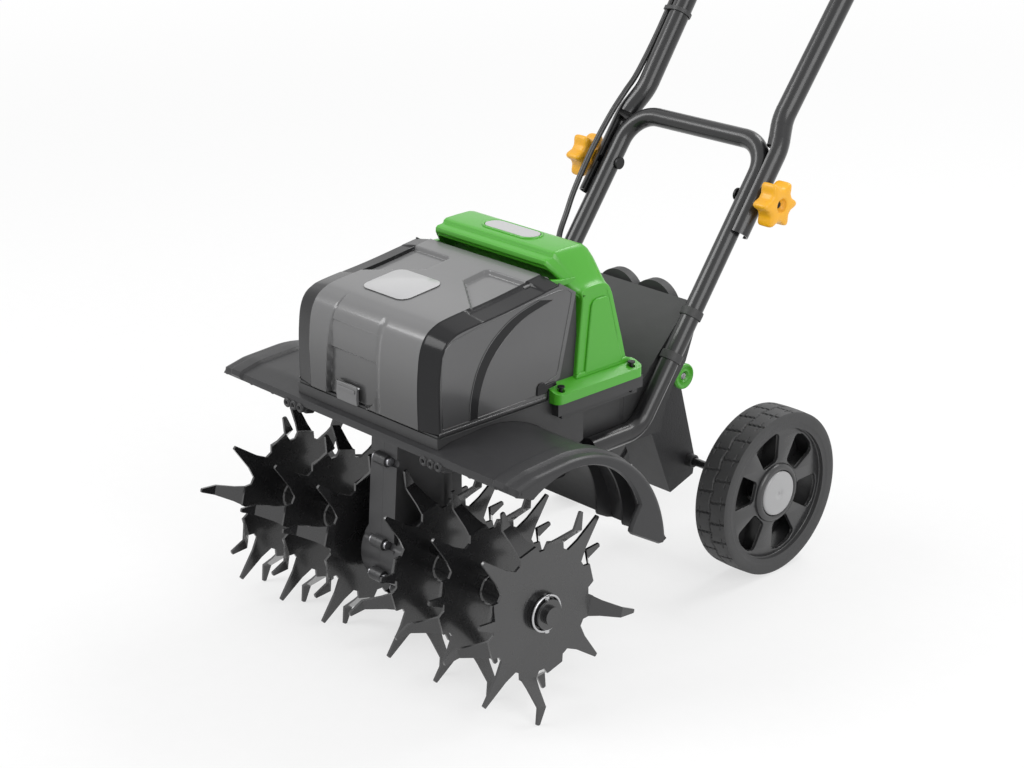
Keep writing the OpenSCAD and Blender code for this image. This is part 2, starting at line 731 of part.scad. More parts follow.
module tyre() color(black) rotate_extrude($fn = 96) polygon([[wheel_r - 19, -wheel_w / 2 + 4],
    [wheel_r - 14, -wheel_w / 2], [wheel_r - 5, -wheel_w / 2], [wheel_r, -wheel_w / 2 + 6],
    [wheel_r, wheel_w / 2 - 6], [wheel_r - 5, wheel_w / 2], [wheel_r - 14, wheel_w / 2],
    [wheel_r - 19, wheel_w / 2 - 4]]);

// Rim: drum, dished web with one window between each two spokes, and hub
module rim() color([0.2, 0.2, 0.2]) difference() {
    union() {
        rotate_extrude($fn = 96) polygon([[wheel_r - 25, -wheel_w / 2 + 5], [wheel_r - 19 - seat_gap,
            -wheel_w / 2 + 5], [wheel_r - 19 - seat_gap, wheel_w / 2 - 5], [wheel_r - 25, wheel_w / 2 - 5]]);
        translate([0, 0, wheel_w / 2 - 18]) cylinder(r = wheel_r - 22, h = 8);
        translate([0, 0, -wheel_w / 2]) cylinder(r = 18, h = wheel_w - 4);
        translate([0, 0, wheel_w / 2 - 18]) cylinder(r = 34, h = 14);
    }
    translate([0, 0, -wheel_w]) cylinder(r = axle_r + run_gap, h = 2 * wheel_w);
    translate([0, 0, wheel_w / 2 - 7]) cylinder(r = 27 + seat_gap, h = 10);
    for (a = [0:360 / spokes:359]) rotate(a) translate([0, 0, -wheel_w]) linear_extrude(2 * wheel_w)
        polygon(concat(arc(0, 0, wheel_r - 29, -15, 15, 6), arc(0, 0, 40, 10, -10, 4)));
}

module hub_cap() color([0.6, 0.6, 0.62]) translate([0, 0, wheel_w / 2 - 7]) difference() {
    rotate_extrude() polygon([[0, 0.1], [27, 0.1], [27, 3.5], [25, 5], [0, 5]]);
    translate([0, 0, -1]) cylinder(r = axle_r + 1, h = 4.5);
}

module rim_left() framed() wheel_side(-1) rim();
module rim_right() framed() wheel_side(1) rim();
module tyre_left() framed() wheel_side(-1) tyre();
module tyre_right() framed() wheel_side(1) tyre();
module hub_cap_left() framed() wheel_side(-1) hub_cap();
module hub_cap_right() framed() wheel_side(1) hub_cap();

// ---- lid -----------------------------------------------------------------

module lid_outline(i) {
    polygon([[-61 + i, lid_bottom_z - (i > 0 ? 10 : 0)], [-62 + i, 341], [-58 + i, 378 - i / 2],
        [-50 + i, 392 - i], [-38 + i / 2, 400 - i], [-20, 404.5 - i], [40, 411 - i], [84, 417 - i],
        [112, 421 - i], [112, 418 - i], [138, 401 - i / 2], [115, 311], [97, 303.5],
        [96, lid_bottom_z - (i > 0 ? 10 : 0)]]);
}

// Plan outline with cut corners at the front
module lid_plan(i) {
    linear_extrude(500) polygon([[-lid_half_w + i, 200], [-lid_half_w + i, -48 + i / 2],
        [-lid_half_w + 13 + i / 2, -62 + i], [lid_half_w - 13 - i / 2, -62 + i],
        [lid_half_w - i, -48 + i / 2], [lid_half_w - i, 200]]);
}

module lid() framed() color(smoke) difference() {
    union() {
        difference() {
            intersection() {
                side(-lid_half_w, lid_half_w) lid_outline(0);
                lid_plan(0);
            }
            intersection() {
                union() {
                    side(-lid_half_w, lid_half_w) lid_outline(lid_wall);
                    block([-lid_half_w, 90, 280], [lid_half_w, 150, 418.4]);
                }
                lid_plan(lid_wall);
            }
            block([-105, 112.5, 280], [105, 150, 430]);
        }
        both_sides() side(86, 92) polygon(concat(arc(hinge_y, hinge_z, 7.5, -180, 60),
            [[111, 420], [95, 417.5], [95, 412]]));
    }
    both_sides() {
        bar_x(hinge_pin_r + run_gap, 80, 110, hinge_y, hinge_z);
        block([92.9, 102, 400], [100.6, 130, 430]);
    }
    latch_place() block([-move_gap, -6, -15], [33 + move_gap, 12, 12]);
}

module lid_hinge_pins() framed() color(steel) both_sides()
    bar_x(hinge_pin_r, 84, 101, hinge_y, hinge_z);

module lid_badge() framed() color([0.6, 0.6, 0.6]) translate([0, -20, 404.5])
    rotate([atan((411 - 404.5) / 60), 0, 0]) block([-52, 1, 0.1], [18, 59, 0.7]);

// The latch sits left of the middle of the lid's front
module latch_place() {
    translate([-43, -60, 303]) children();
}

module lid_latch() framed() color([0.45, 0.45, 0.45]) latch_place() {
    side(0, 33) polygon([[-1, -12], [2, -12], [2, 6], [-1, 9]]);
    bar_x(2.5, 0, 33, 1.5, 8);
}

// ---- handle --------------------------------------------------------------

module lower_handle() framed() handle_plane() color(black) difference() {
    union() {
        both_sides() {
            tube_run([[lower_tube_x, -foot_v], [lower_tube_x, bar_v], [-0.5, bar_v]], bar_bend_r,
                lower_tube_r);
            lower_foot();
        }
    }
    bar_x(lock_pin_r + seat_gap, -200, 200);
}

// Foot of a lower tube: it turns level and runs forward along the housing
module lower_foot() {
    bend_end = [lower_tube_x, -foot_v - foot_r * sin(handle_slope), foot_r - foot_r * cos(handle_slope)];
    translate([lower_tube_x, -foot_v, foot_r]) rotate([90, 0, 90]) rotate(-90 - handle_slope)
        rotate_extrude(angle = handle_slope) translate([foot_r, 0]) circle(r = lower_tube_r);
    translate(bend_end) rotate([90 - handle_slope, 0, 0]) {
        cylinder(r = lower_tube_r, h = foot_run);
        bend_mark(lower_tube_r);
    }
    translate([lower_tube_x, -foot_v, 0]) rotate([90, 0, 0]) bend_mark(lower_tube_r);
}

// Upper tube: splays out from the jog above the lower bar and runs straight to the top bend
module upper_side(r) {
    tube_run([[upper_x, -45], [upper_x, 64], [upper_x - 11.4, 98], [run_x, 330], [run_x, upper_len],
        [-0.5, upper_len]], loop_bend_r, r);
}

module upper_handle() framed() color(black) handle_plane() both_sides() {
    difference() {
        upper_side(upper_tube_r);
        translate([upper_x, -46, 0]) rotate([-90, 0, 0]) cylinder(r = upper_tube_r - tube_wall, h = 102);
        block([upper_x - 30, -60, -30], [upper_x, 62, 30]);
        bar_x(lock_pin_r + seat_gap, 90, 150);
    }
    bar_x(bail_pin_r, run_x - upper_tube_r - 12, run_x - 5, bail_v, 0);
}

module handle_grip() framed() color([0.1, 0.1, 0.1]) handle_plane() difference() {
    translate([-grip_half, upper_len, 0]) rotate([0, 90, 0]) cylinder(r = grip_r, h = 2 * grip_half);
    translate([-grip_half - 1, upper_len, 0]) rotate([0, 90, 0])
        cylinder(r = upper_tube_r + seat_gap / 2, h = 2 * grip_half + 2);
}

module handle_bolts() framed() color(black) handle_plane() both_sides() {
    bar_x(lock_pin_r, lower_tube_x - lower_tube_r - 1, knob_x + 6.5);
    translate([lower_tube_x - lower_tube_r - 3.6, 0, 0]) rotate([0, 90, 0]) cylinder(r = 7.5, h = 3.2);
}

// Star knob: flanged neck and six round lobes
module star_knob(side_sign) framed() color(orange) handle_plane() mirror([side_sign < 0 ? 1 : 0, 0, 0])
    translate([knob_x - 13, 0, 0]) difference() {
        union() {
            rotate([0, 90, 0]) translate([0, 0, -2.6]) cylinder(r = 10, h = 6);
            rotate([0, 90, 0]) cylinder(r = 20, h = 25);
            for (a = [0:60:300]) rotate([a, 0, 0]) translate([0, knob_r - 7, 0]) rotate([0, 90, 0])
                cylinder(r = 7, h = 25);
        }
        bar_x(lock_pin_r + run_gap, -5, 22.5);
        bar_x(8, 20, 30);
    }

module star_knob_left() star_knob(-1);
module star_knob_right() star_knob(1);

// Switch box clamped on the left tube, with the lock button on top
module switch_box() framed() color([0.14, 0.14, 0.14]) handle_plane() difference() {
    translate([-run_x, 0, 0]) linear_extrude(44, center = true)
        polygon([[-24, 444], [-24, 514], [-16, 524], [22, 524], [30, 514], [30, 450], [22, 436], [-20, 436]]);
    translate([-run_x, 400, 0]) rotate([-90, 0, 0]) cylinder(r = upper_tube_r + seat_gap / 2, h = 200);
    translate([-run_x + 18.5, 492, 5]) cylinder(r = 7 + move_gap, h = 30);
}

module lock_button() framed() color(orange) handle_plane()
    translate([-run_x + 18.5, 492, 5 + button_travel + move_gap]) cylinder(r = 7, h = 22);

// Bail: a wire loop in front of the grip, squeezed towards it
module bail_lever() framed() handle_plane() translate([0, bail_v, 0]) rotate([bail_a, 0, 0])
    color([0.25, 0.25, 0.25]) both_sides() difference() {
        union() {
            tube_run([[bail_x, 0], [bail_x, bail_reach], [-0.5, bail_reach]], 22, 4.5);
            translate([bail_x - 4, 0, 0]) rotate([0, 90, 0])
                cylinder(r = 7, h = run_x - upper_tube_r - move_gap - bail_x + 4);
        }
        bar_x(bail_pin_r + run_gap, bail_x - 10, run_x);
    }

// ---- cable ---------------------------------------------------------------

// Centre line of the switch cable in the handle plane, and its entry into the rear housing
cable_points = [[-129, 435.6, 0], [-128.9, 420, 0], [-128.8, 380, 1], [-128.6, 340, 2], [-127, 280, 3],
    [-124.4, 220, 5], [-121.8, 160, 6], [-120, 110, 9.6], [-120.4, 84, 14.4], [-122, 50, 18.6], [-123, 0, 20.6],
    [-122.6, -50, 18.4], [-121, -80, 15], [-116, -105, 16], [-104, -125, 20], [-90, -140, 20],
    [-77, -153, 14], [-72, -158, 5], [-72, -158, -4], [-72, -158, -14]];

function spline_point(p, i, t) =
    let (a = p[max(i - 1, 0)], b = p[i], c = p[i + 1], d = p[min(i + 2, len(p) - 1)])
    0.5 * (2 * b + (c - a) * t + (2 * a - 5 * b + 4 * c - d) * t * t + (3 * b - a - 3 * c + d) * t * t * t);

cable_path = concat([for (i = [0:len(cable_points) - 2], t = [0:0.25:0.75]) spline_point(cable_points, i, t)],
    [cable_points[len(cable_points) - 1]]);

function unit(v) = v / norm(v);

module sweep(path, r, sides = 8) {
    n = len(path);
    rings = [for (i = [0:n - 1])
        let (d = unit(path[min(i + 1, n - 1)] - path[max(i - 1, 0)]), u = unit(cross(d, [0.02, 0.1, 1])),
            v = cross(d, u))
        for (k = [0:sides - 1]) path[i] + r * (cos(360 * k / sides) * u + sin(360 * k / sides) * v)];
    polyhedron(rings, concat([[for (k = [0:sides - 1]) k]],
        [for (i = [0:n - 2], k = [0:sides - 1]) [i * sides + k, (i + 1) * sides + k,
            (i + 1) * sides + (k + 1) % sides, i * sides + (k + 1) % sides]],
        [[for (k = [sides - 1:-1:0]) (n - 1) * sides + k]]));
}

module switch_cable() framed() color(black) handle_plane() sweep(cable_path, cable_d / 2);

// Ties that hold the cable against the left upper tube: a band round both, as tube and cable places
tie_places = [[200, 108.08, 123.54, 5.3], [400, 112, 128.85, 0.6]];

module tie_band(gap, dx, dn) {
    a = atan2(dn, -dx);
    big = upper_tube_r + gap;
    small = cable_d / 2 + gap;
    lean = acos((big - small) / norm([dx, dn]));
    polygon(concat(arc(0, 0, big, a + lean, a + 360 - lean, 40),
        arc(-dx, dn, small, a - lean, a + lean, 16)));
}

module cable_ties() framed() color([0.08, 0.08, 0.08]) handle_plane() for (t = tie_places)
    translate([-t[1], t[0] + 2.5, 0]) rotate([90, 0, 0]) linear_extrude(5) difference() {
        tie_band(1.8, t[2] - t[1], t[3]);
        tie_band(0.5, t[2] - t[1], t[3]);
    }

deck();
lower_housing();
battery_tray();
battery_pack_left();
battery_pack_right();
battery_contacts();
bridge_cover();
name_plate();
body_screws();
rear_housing();
rear_cover();
bar_clips();
lower_handle();
gear_case_left();
gear_case_right();
gear_case_bolts();
ball_bearings();
shaft_seals();
motor_can();
stator();
controller_board();
leg_bracket();
leg_pivot_pin();
lid_hinge_pins();
lid();
lid_badge();
lid_latch();
tine_shaft();
worm_wheel();
tine_star(1);  // tine_star_1
tine_star(2);  // tine_star_2
tine_star(3);  // tine_star_3
tine_star(4);  // tine_star_4
tine_star(5);  // tine_star_5
tine_star(6);  // tine_star_6
hub_sleeves();
retaining_pins();
rotor();
worm();
wheel_leg();
wheel_axle();
axle_collars();
lock_pin();
lock_knob();
rim_left();
tyre_left();
hub_cap_left();
rim_right();
tyre_right();
hub_cap_right();
upper_handle();
handle_grip();
handle_bolts();
switch_box();
lock_button();
bail_lever();
star_knob_left();
star_knob_right();
switch_cable();
cable_ties();
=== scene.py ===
import json
import math

import bmesh
import bpy
from mathutils import Matrix, Vector

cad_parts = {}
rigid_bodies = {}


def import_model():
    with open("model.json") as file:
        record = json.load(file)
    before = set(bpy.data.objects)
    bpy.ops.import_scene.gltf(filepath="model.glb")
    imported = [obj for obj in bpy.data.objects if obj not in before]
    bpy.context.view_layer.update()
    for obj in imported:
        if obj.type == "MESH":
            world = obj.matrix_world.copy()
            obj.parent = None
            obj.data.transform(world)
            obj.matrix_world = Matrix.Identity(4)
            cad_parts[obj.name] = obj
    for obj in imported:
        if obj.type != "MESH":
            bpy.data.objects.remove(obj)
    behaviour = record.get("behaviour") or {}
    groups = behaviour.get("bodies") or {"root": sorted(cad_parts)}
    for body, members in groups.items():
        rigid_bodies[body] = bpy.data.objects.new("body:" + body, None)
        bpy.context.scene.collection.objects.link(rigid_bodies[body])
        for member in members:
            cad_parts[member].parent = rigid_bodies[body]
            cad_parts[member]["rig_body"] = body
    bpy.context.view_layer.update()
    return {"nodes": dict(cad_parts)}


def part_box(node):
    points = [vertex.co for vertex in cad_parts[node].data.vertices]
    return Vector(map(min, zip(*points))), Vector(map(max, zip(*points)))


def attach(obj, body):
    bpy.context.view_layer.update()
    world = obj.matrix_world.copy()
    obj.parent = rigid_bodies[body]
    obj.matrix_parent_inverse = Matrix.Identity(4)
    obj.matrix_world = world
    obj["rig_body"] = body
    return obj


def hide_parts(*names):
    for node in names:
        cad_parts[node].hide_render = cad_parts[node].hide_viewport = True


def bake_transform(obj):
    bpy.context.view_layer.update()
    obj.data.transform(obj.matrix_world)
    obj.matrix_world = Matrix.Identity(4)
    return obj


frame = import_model()

# ---- studio ----
# A pale seamless floor and three soft lamps round the machine. The camera stands at the
# front right corner, a little above the deck, and looks across the lid towards the handle.

shaft_lo, shaft_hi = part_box("tine_shaft")
SHAFT = (shaft_lo + shaft_hi) / 2
MM = 0.001


def at(x, y, z):
    """A place in metres, from millimetres: across, behind the tine shaft, above the ground."""
    return Vector((x * MM, SHAFT.y + y * MM, z * MM))


def node_maker(holder):
    """Returns a function that adds a shader node, or takes one, and sets or links its inputs."""
    tree = holder.node_tree

    def make(node, settings=None, **inputs):
        if isinstance(node, str):
            node = tree.nodes.new("ShaderNode" + node)
        for name, value in (settings or {}).items():
            setattr(node, name, value)
        for name, value in inputs.items():
            socket = node.inputs[int(name[1:]) if name[1:].isdigit() else name.replace("_", " ")]
            if isinstance(value, bpy.types.NodeSocket):
                tree.links.new(value, socket)
            else:
                socket.default_value = value
        return node

    return make


def plain_sight(make):
    """1 for rays from the camera, direct, through a clear piece or off a glossy one, else 0."""
    path = make("LightPath").outputs
    seen = make("Math", {"operation": "MAXIMUM"}, _0=path["Is Camera Ray"], _1=path["Is Transmission Ray"])
    return make("Math", {"operation": "MAXIMUM"}, _0=seen.outputs[0], _1=path["Is Glossy Ray"]).outputs[0]


def floor_paper():
    """White backing paper: it is seen nearly white, and it still takes the shadow."""
    paper = bpy.data.materials.new("backing_paper")
    paper.use_nodes = True
    paper.node_tree.nodes.clear()
    make = node_maker(paper)
    grain = make("TexNoise", Scale=900.0, Detail=3.0)
    tone = make("MapRange", Value=grain.outputs["Fac"], To_Min=0.80, To_Max=0.84)
    matt = make("BsdfDiffuse", Color=tone.outputs["Result"])
    white = make("Emission", Color=(1, 1, 1, 1), Strength=1.0)
    reach = make("VectorMath", {"operation": "LENGTH"}, _0=make("NewGeometry").outputs["Position"])
    share = make("MapRange", {"interpolation_type": "SMOOTHSTEP"}, Value=reach.outputs["Value"], From_Min=0.7,
                 From_Max=4.0, To_Min=0.66, To_Max=1.0)
    part = make("Math", {"operation": "MULTIPLY"}, _0=plain_sight(make), _1=share.outputs["Result"])
    both = make("MixShader", _0=part.outputs[0], _1=matt.outputs[0], _2=white.outputs[0])
    make("OutputMaterial", Surface=both.outputs[0])
    return paper


def put(name, data):
    """A new object in the scene."""
    thing = bpy.data.objects.new(name, data)
    bpy.context.scene.collection.objects.link(thing)
    return thing


def lay_floor():
    half, drop = 9.0, 0.0005
    mesh = bpy.data.meshes.new("studio_floor")
    corners = [(-half, -half, 0), (half, -half, 0), (half, half, 0), (-half, half, 0)]
    mesh.from_pydata(corners, [], [(0, 1, 2, 3)])
    mesh.materials.append(floor_paper())
    floor = put("studio_floor", mesh)
    floor.location.z = -drop


def softbox(name, place, aim, width, height, power):
    lamp = bpy.data.lights.new(name, "AREA")
    lamp.shape, lamp.size, lamp.size_y, lamp.energy = "RECTANGLE", width, height, power
    box = put(name, lamp)
    box.location = place
    box.rotation_euler = (Vector(place) - Vector(aim)).to_track_quat("Z", "Y").to_euler()


def white_world():
    """Even surroundings: white where they are seen, dimmer as light."""
    world = bpy.data.worlds.new("surroundings")
    world.use_nodes = True
    bpy.context.scene.world = world
    world.node_tree.nodes.clear()
    make = node_maker(world)
    level = make("MapRange", Value=plain_sight(make), To_Min=0.55, To_Max=1.0)
    light = make("Background", Color=(1, 1, 1, 1), Strength=level.outputs["Result"])
    make("OutputWorld", Surface=light.outputs[0])


VIEW_AZIMUTH, VIEW_ELEVATION = 46.25, 21.19
VIEW_LENS = 74.42
VIEW_PLACE = at(1582.4, -1361.7, 1111.5)

lay_floor()
white_world()
softbox("key_left", (-1.6, -2.3, 2.6), (0, -0.2, 0.25), 1.8, 1.6, 62)
softbox("fill_right", (2.6, -0.6, 1.7), (0, 0, 0.3), 1.5, 1.9, 34)
softbox("top_back", (0.2, 2.2, 2.9), (0, 0, 0.4), 2.4, 1.2, 60)

lens = bpy.data.cameras.new("view")
lens.lens, lens.sensor_width = VIEW_LENS, 36.0
camera = put("view", lens)
camera.location = VIEW_PLACE
camera.rotation_euler = (math.radians(90 - VIEW_ELEVATION), 0, math.radians(VIEW_AZIMUTH))
bpy.context.scene.camera = camera
bpy.context.scene.view_settings.view_transform = "Standard"

# ---- gear case and drive ----
# Two halves of cast aluminium, painted grey and bolted together on flanges, hang under the
# deck. They hold a bronze worm wheel, a steel worm, ball bearings and the motor above.


GRAIN_HEIGHT = 0.00025
WELD_GAP, FLAT_ANGLE, EDGE_ANGLE = 2e-6, 1.0, 32


def surface(name, colour, rough, metallic=0.0, coat=0.0, coat_rough=0.1, grain=600.0, grain_depth=0.06,
            mottle=0.12, mottle_scale=14.0, rough_spread=0.08, scratches=0.0, painted_shade_below=None, specular=0.5):
    """A finish with a fine grain in its relief, slow changes of tone and uneven gloss.

    painted_shade_below is (low height, high height, tone at the low one) in metres: painted shade, darker
    towards the bottom.
    """
    material = bpy.data.materials.new(name)
    material.use_nodes = True
    make = node_maker(material)
    place = make("TexCoord").outputs["Object"]
    slow = make("TexNoise", Vector=place, Scale=mottle_scale, Detail=5.0, Roughness=0.6)
    dark = [c * (1 - mottle) for c in colour] + [1]
    pale = [min(1, c * (1 + mottle) + 0.002) for c in colour] + [1]
    tone = make("Mix", {"data_type": "RGBA"}, _0=slow.outputs["Fac"], _6=dark, _7=pale).outputs[2]
    # Painted shade: the colour is multiplied darker towards the bottom of the part.
    if painted_shade_below:
        low, high, least = painted_shade_below
        parts = make("SeparateXYZ", Vector=place)
        height = make("MapRange", {"interpolation_type": "SMOOTHSTEP"}, Value=parts.outputs["Z"], From_Min=low,
                      From_Max=high, To_Min=least, To_Max=1.0)
        tone = make("Mix", {"data_type": "RGBA", "blend_type": "MULTIPLY"}, _0=1.0, _6=tone,
                    _7=height.outputs["Result"]).outputs[2]
    relief = make("TexNoise", Vector=place, Scale=grain, Detail=3.0, Roughness=0.55).outputs["Fac"]
    patch = make("TexNoise", Vector=place, Scale=mottle_scale * 5, Detail=4.0)
    gloss = make("MapRange", Value=patch.outputs["Fac"], To_Min=max(0.02, rough - rough_spread),
                 To_Max=min(1.0, rough + rough_spread))
    if scratches:
        stretch = make("Mapping", Vector=place, Scale=(40, 900, 900))
        lines = make("TexNoise", Vector=stretch.outputs[0], Scale=1.0, Detail=2.0)
        relief = make("Math", {"operation": "ADD"}, _0=relief, _1=lines.outputs["Fac"]).outputs[0]
        grain_depth += scratches
    bump = make("Bump", Height=relief, Strength=min(1.0, grain_depth * 4), Distance=GRAIN_HEIGHT)
    make(material.node_tree.nodes["Principled BSDF"], Base_Color=tone, Roughness=gloss.outputs["Result"],
         Normal=bump.outputs["Normal"], Metallic=metallic, Specular_IOR_Level=specular, Coat_Weight=coat,
         Coat_Roughness=coat_rough)
    return material


def soften(piece, width, segments=3, angle=34, corners="MITER_ARC"):
    """Rounds a piece's hard edges by width millimetres."""
    soft = piece.modifiers.new("edge", "BEVEL")
    soft.width, soft.segments, soft.miter_outer = width * MM, segments, corners
    soft.limit_method, soft.angle_limit = "ANGLE", math.radians(angle)
    even = piece.modifiers.new("even", "WEIGHTED_NORMAL")
    even.keep_sharp = False


def dress(name, material, edge=0.0, segments=2):
    """Gives a frame part its finish and, where asked, rounds its edges by edge millimetres."""
    part = frame["nodes"][name]
    part.data.materials.clear()
    part.data.materials.append(material)
    for face in part.data.polygons:
        face.material_index = 0
    if edge:
        weld = part.modifiers.new("weld", "WELD")
        weld.merge_threshold = WELD_GAP
        flat = part.modifiers.new("flat", "DECIMATE")
        flat.decimate_type, flat.angle_limit = "DISSOLVE", math.radians(FLAT_ANGLE)
        soften(part, edge, segments, EDGE_ANGLE, "MITER_SHARP")
        for face in part.data.polygons:
            face.use_smooth = True


cast_grey = surface("cast_grey_paint", (0.05, 0.05, 0.052), 0.4, metallic=0.3, grain=900, grain_depth=0.12,
                    mottle=0.15, rough_spread=0.1)
bright_steel = surface("bright_steel", (0.52, 0.52, 0.53), 0.27, metallic=1.0, grain=1200, mottle=0.06,
                       scratches=0.05)
zinc_steel = surface("zinc_steel", (0.40, 0.40, 0.42), 0.36, metallic=1.0, grain=800, mottle=0.12)
worm_bronze = surface("worm_bronze", (0.55, 0.36, 0.14), 0.32, metallic=1.0, grain=900, mottle=0.1)
winding_copper = surface("winding_copper", (0.45, 0.20, 0.09), 0.38, metallic=0.9, grain=300, grain_depth=0.3)
seal_rubber = surface("seal_rubber", (0.012, 0.012, 0.012), 0.62, grain=700, mottle=0.2)
board_green = surface("board_lacquer", (0.01, 0.09, 0.035), 0.3, coat=0.4, grain=500, mottle=0.3)

for row in (("gear_case_left", cast_grey, 0.9, 3), ("gear_case_right", cast_grey, 0.9, 3),
            ("gear_case_bolts", zinc_steel, 0.4), ("ball_bearings", bright_steel, 0.3),
            ("shaft_seals", seal_rubber, 0.3), ("motor_can", zinc_steel, 0.8), ("stator", winding_copper),
            ("controller_board", board_green), ("rotor", bright_steel, 0.3), ("worm", bright_steel, 0.2),
            ("worm_wheel", worm_bronze, 0.3)):
    dress(*row)

# ---- tines ----
# Six twelve-point stars of 3 mm spring steel, pressed so that the points stand straight, set
# out and set in by turns. They are welded to sleeves on the shaft and dipped in black paint.

tine_black = surface("tine_black_paint", (0.017, 0.017, 0.018), 0.26, metallic=0.3, coat=0.9, coat_rough=0.12,
                     grain=350, grain_depth=0.015, mottle=0.3, mottle_scale=20, rough_spread=0.07)
for number in range(1, 7):
    dress(f"tine_star_{number}", tine_black, 0.5)
dress("hub_sleeves", tine_black, 0.7)
dress("tine_shaft", tine_black, 0.8)
dress("retaining_pins", bright_steel, 0.3)


def face_outwards(mesh, weld=0.0):
    """Turns a mesh's faces outwards, after joining places closer than weld metres."""
    work = bmesh.new()
    work.from_mesh(mesh)
    if weld:
        bmesh.ops.remove_doubles(work, verts=work.verts, dist=weld)
    bmesh.ops.recalc_face_normals(work, faces=work.faces)
    work.to_mesh(mesh)
    work.free()


def new_piece(name, verts, faces, material, body):
    """A mesh piece in the frame's place, riding on its body; material is one finish or several."""
    mesh = bpy.data.meshes.new(name)
    mesh.from_pydata([tuple(v) for v in verts], [], faces)
    mesh.validate()
    face_outwards(mesh)
    piece = put(name, mesh)
    for one in material if isinstance(material, tuple) else (material,):
        mesh.materials.append(one)
    for face in mesh.polygons:
        face.use_smooth = True
    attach(piece, body)
    return piece


def skin(size, loops, closed=False):
    """Faces between loops of size places each; closed joins the last loop to the first."""
    faces = []
    for i in range(loops if closed else loops - 1):
        j = (i + 1) % loops
        for k in range(size):
            m = (k + 1) % size
            faces.append((i * size + k, i * size + m, j * size + m, j * size + k))
    return faces


def spun(rings, count, place, axis="x"):
    """Vertices and faces of a closed turned shape: rings are (radius, distance along the axis)."""
    verts = []
    for r, h in rings:
        for k in range(count):
            t = 2 * math.pi * k / count
            u, v = r * math.cos(t), r * math.sin(t)
            verts.append(place + Vector({"x": (h, u, v), "y": (u, h, v), "z": (u, v, h)}[axis]) * MM)
    return verts, skin(count, len(rings), closed=True)


def ring_piece(name, rings, count, place, material, body, axis="x"):
    return new_piece(name, *spun(rings, count, place, axis), material, body)


# Weld beads where each disc meets its sleeve
SLEEVE_R = 16.5
RIPPLE, RIPPLES = 0.22, 31
BEAD = [(-1.0, 1.5), (2.6, 1.5), (2.0, 2.4), (1.0, 3.6), (0.1, 4.4), (-1.0, 4.4)]
for number in range(1, 7):
    lo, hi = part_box(f"tine_star_{number}")
    middle = (lo.x + hi.x) / 2
    for way in (-1, 1):
        weld_bead = ring_piece(f"disc_weld_{number}_{'in' if way < 0 else 'out'}",
                               [(SLEEVE_R + r, way * h) for r, h in BEAD], 72,
                               Vector((middle, SHAFT.y, SHAFT.z)), tine_black, "tine_rotor")
        for vertex in weld_bead.data.vertices:
            turn = math.atan2(vertex.co.z - SHAFT.z, vertex.co.y - SHAFT.y)
            vertex.co.x += way * RIPPLE * MM * math.sin(turn * RIPPLES)

# ---- deck ----
# The hood over the tines is one moulding in black ABS, 3 mm thick: a front lip, an arch, a
# raised band near each end, and a broad end shell with a rounded rim and a low opening.

deck_black = surface("deck_black_abs", (0.026, 0.026, 0.0275), 0.38, specular=0.35, grain=1500,
                     grain_depth=0.1, mottle=0.12, mottle_scale=9, rough_spread=0.07)
DECK_HALF, DECK_WALL = 237.0, 3.0
ARCH = (10.0, 143.0, 142.0)
SIDES = ((-1, "left"), (1, "right"))


def along(path, count):
    """count places spaced evenly along a path of (y, z) places."""
    lengths = [0.0]
    for a, b in zip(path, path[1:]):
        lengths.append(lengths[-1] + math.dist(a, b))
    out, i = [], 0
    for k in range(count):
        want = lengths[-1] * k / (count - 1)
        while i < len(path) - 2 and lengths[i + 1] < want:
            i += 1
        t = (want - lengths[i]) / max(1e-9, lengths[i + 1] - lengths[i])
        (ay, az), (by, bz) = path[i], path[i + 1]
        out.append((ay + t * (by - ay), az + t * (bz - az)))
    return out


def moved_in(path, amounts):
    """The path moved to its right-hand side by an amount at each place."""
    out = []
    for i, p in enumerate(path):
        a, b = path[max(0, i - 1)], path[min(len(path) - 1, i + 1)]
        dy, dz = b[0] - a[0], b[1] - a[1]
        size = math.hypot(dy, dz) or 1.0
        out.append((p[0] + dz / size * amounts[i], p[1] - dy / size * amounts[i]))
    return out


def arc_places(cy, cz, r, a0, a1, count):
    """count + 1 places (y, z) on an arc from angle a0 to a1, in degrees."""
    turns = [math.radians(a0 + (a1 - a0) * k / count) for k in range(count + 1)]
    return [(cy + r * math.cos(t), cz + r * math.sin(t)) for t in turns]


def lofted(half):
    """A skin through closed loops of (x, y, z) in millimetres, from the middle out, mirrored.

    Each loop runs back as it came, so strips between its two halves close the ends.
    """
    loops = [[(-x, y, z) for x, y, z in loop] for loop in reversed(half[1:])] + half
    size = len(half[0])
    faces = skin(size, len(loops))
    for base in (0, (len(loops) - 1) * size):
        for k in range(size // 2 - 1):
            faces.append((base + k, base + k + 1, base + size - 2 - k, base + size - 1 - k))
    return [at(*p) for loop in loops for p in loop], faces


DECK_STEPS = 72
deck_top = [(-66, 268.5), (-66, 275.5), (-64.5, 276.4), (-40, 282)] + arc_places(*ARCH, 91, 5, 60)
deck_top = along(deck_top, DECK_STEPS)
shell_edge = [(-65, 267.3), (-52, 262.5), (-45, 258.6)] + arc_places(12, 170, 105, 122.5, 20, 40)
shell_tail = [(110.7, 205.9), (104, 196), (98, 186), (96, 177.5), (145, 149), (151.2, 154.6)]
shell_edge = along(shell_edge, DECK_STEPS - 16) + along(shell_tail, 17)[1:]


def deck_loop(x, rise, wall_edge):
    top = moved_in(deck_top, [-rise if 0 < i < DECK_STEPS - 1 else 0.0 for i in range(DECK_STEPS)])
    return [(x, *p) for p in top] + [(x, *p) for p in reversed(wall_edge)]


def thin_wall(rise=0.0):
    return moved_in(deck_top, [DECK_WALL - rise] * DECK_STEPS)


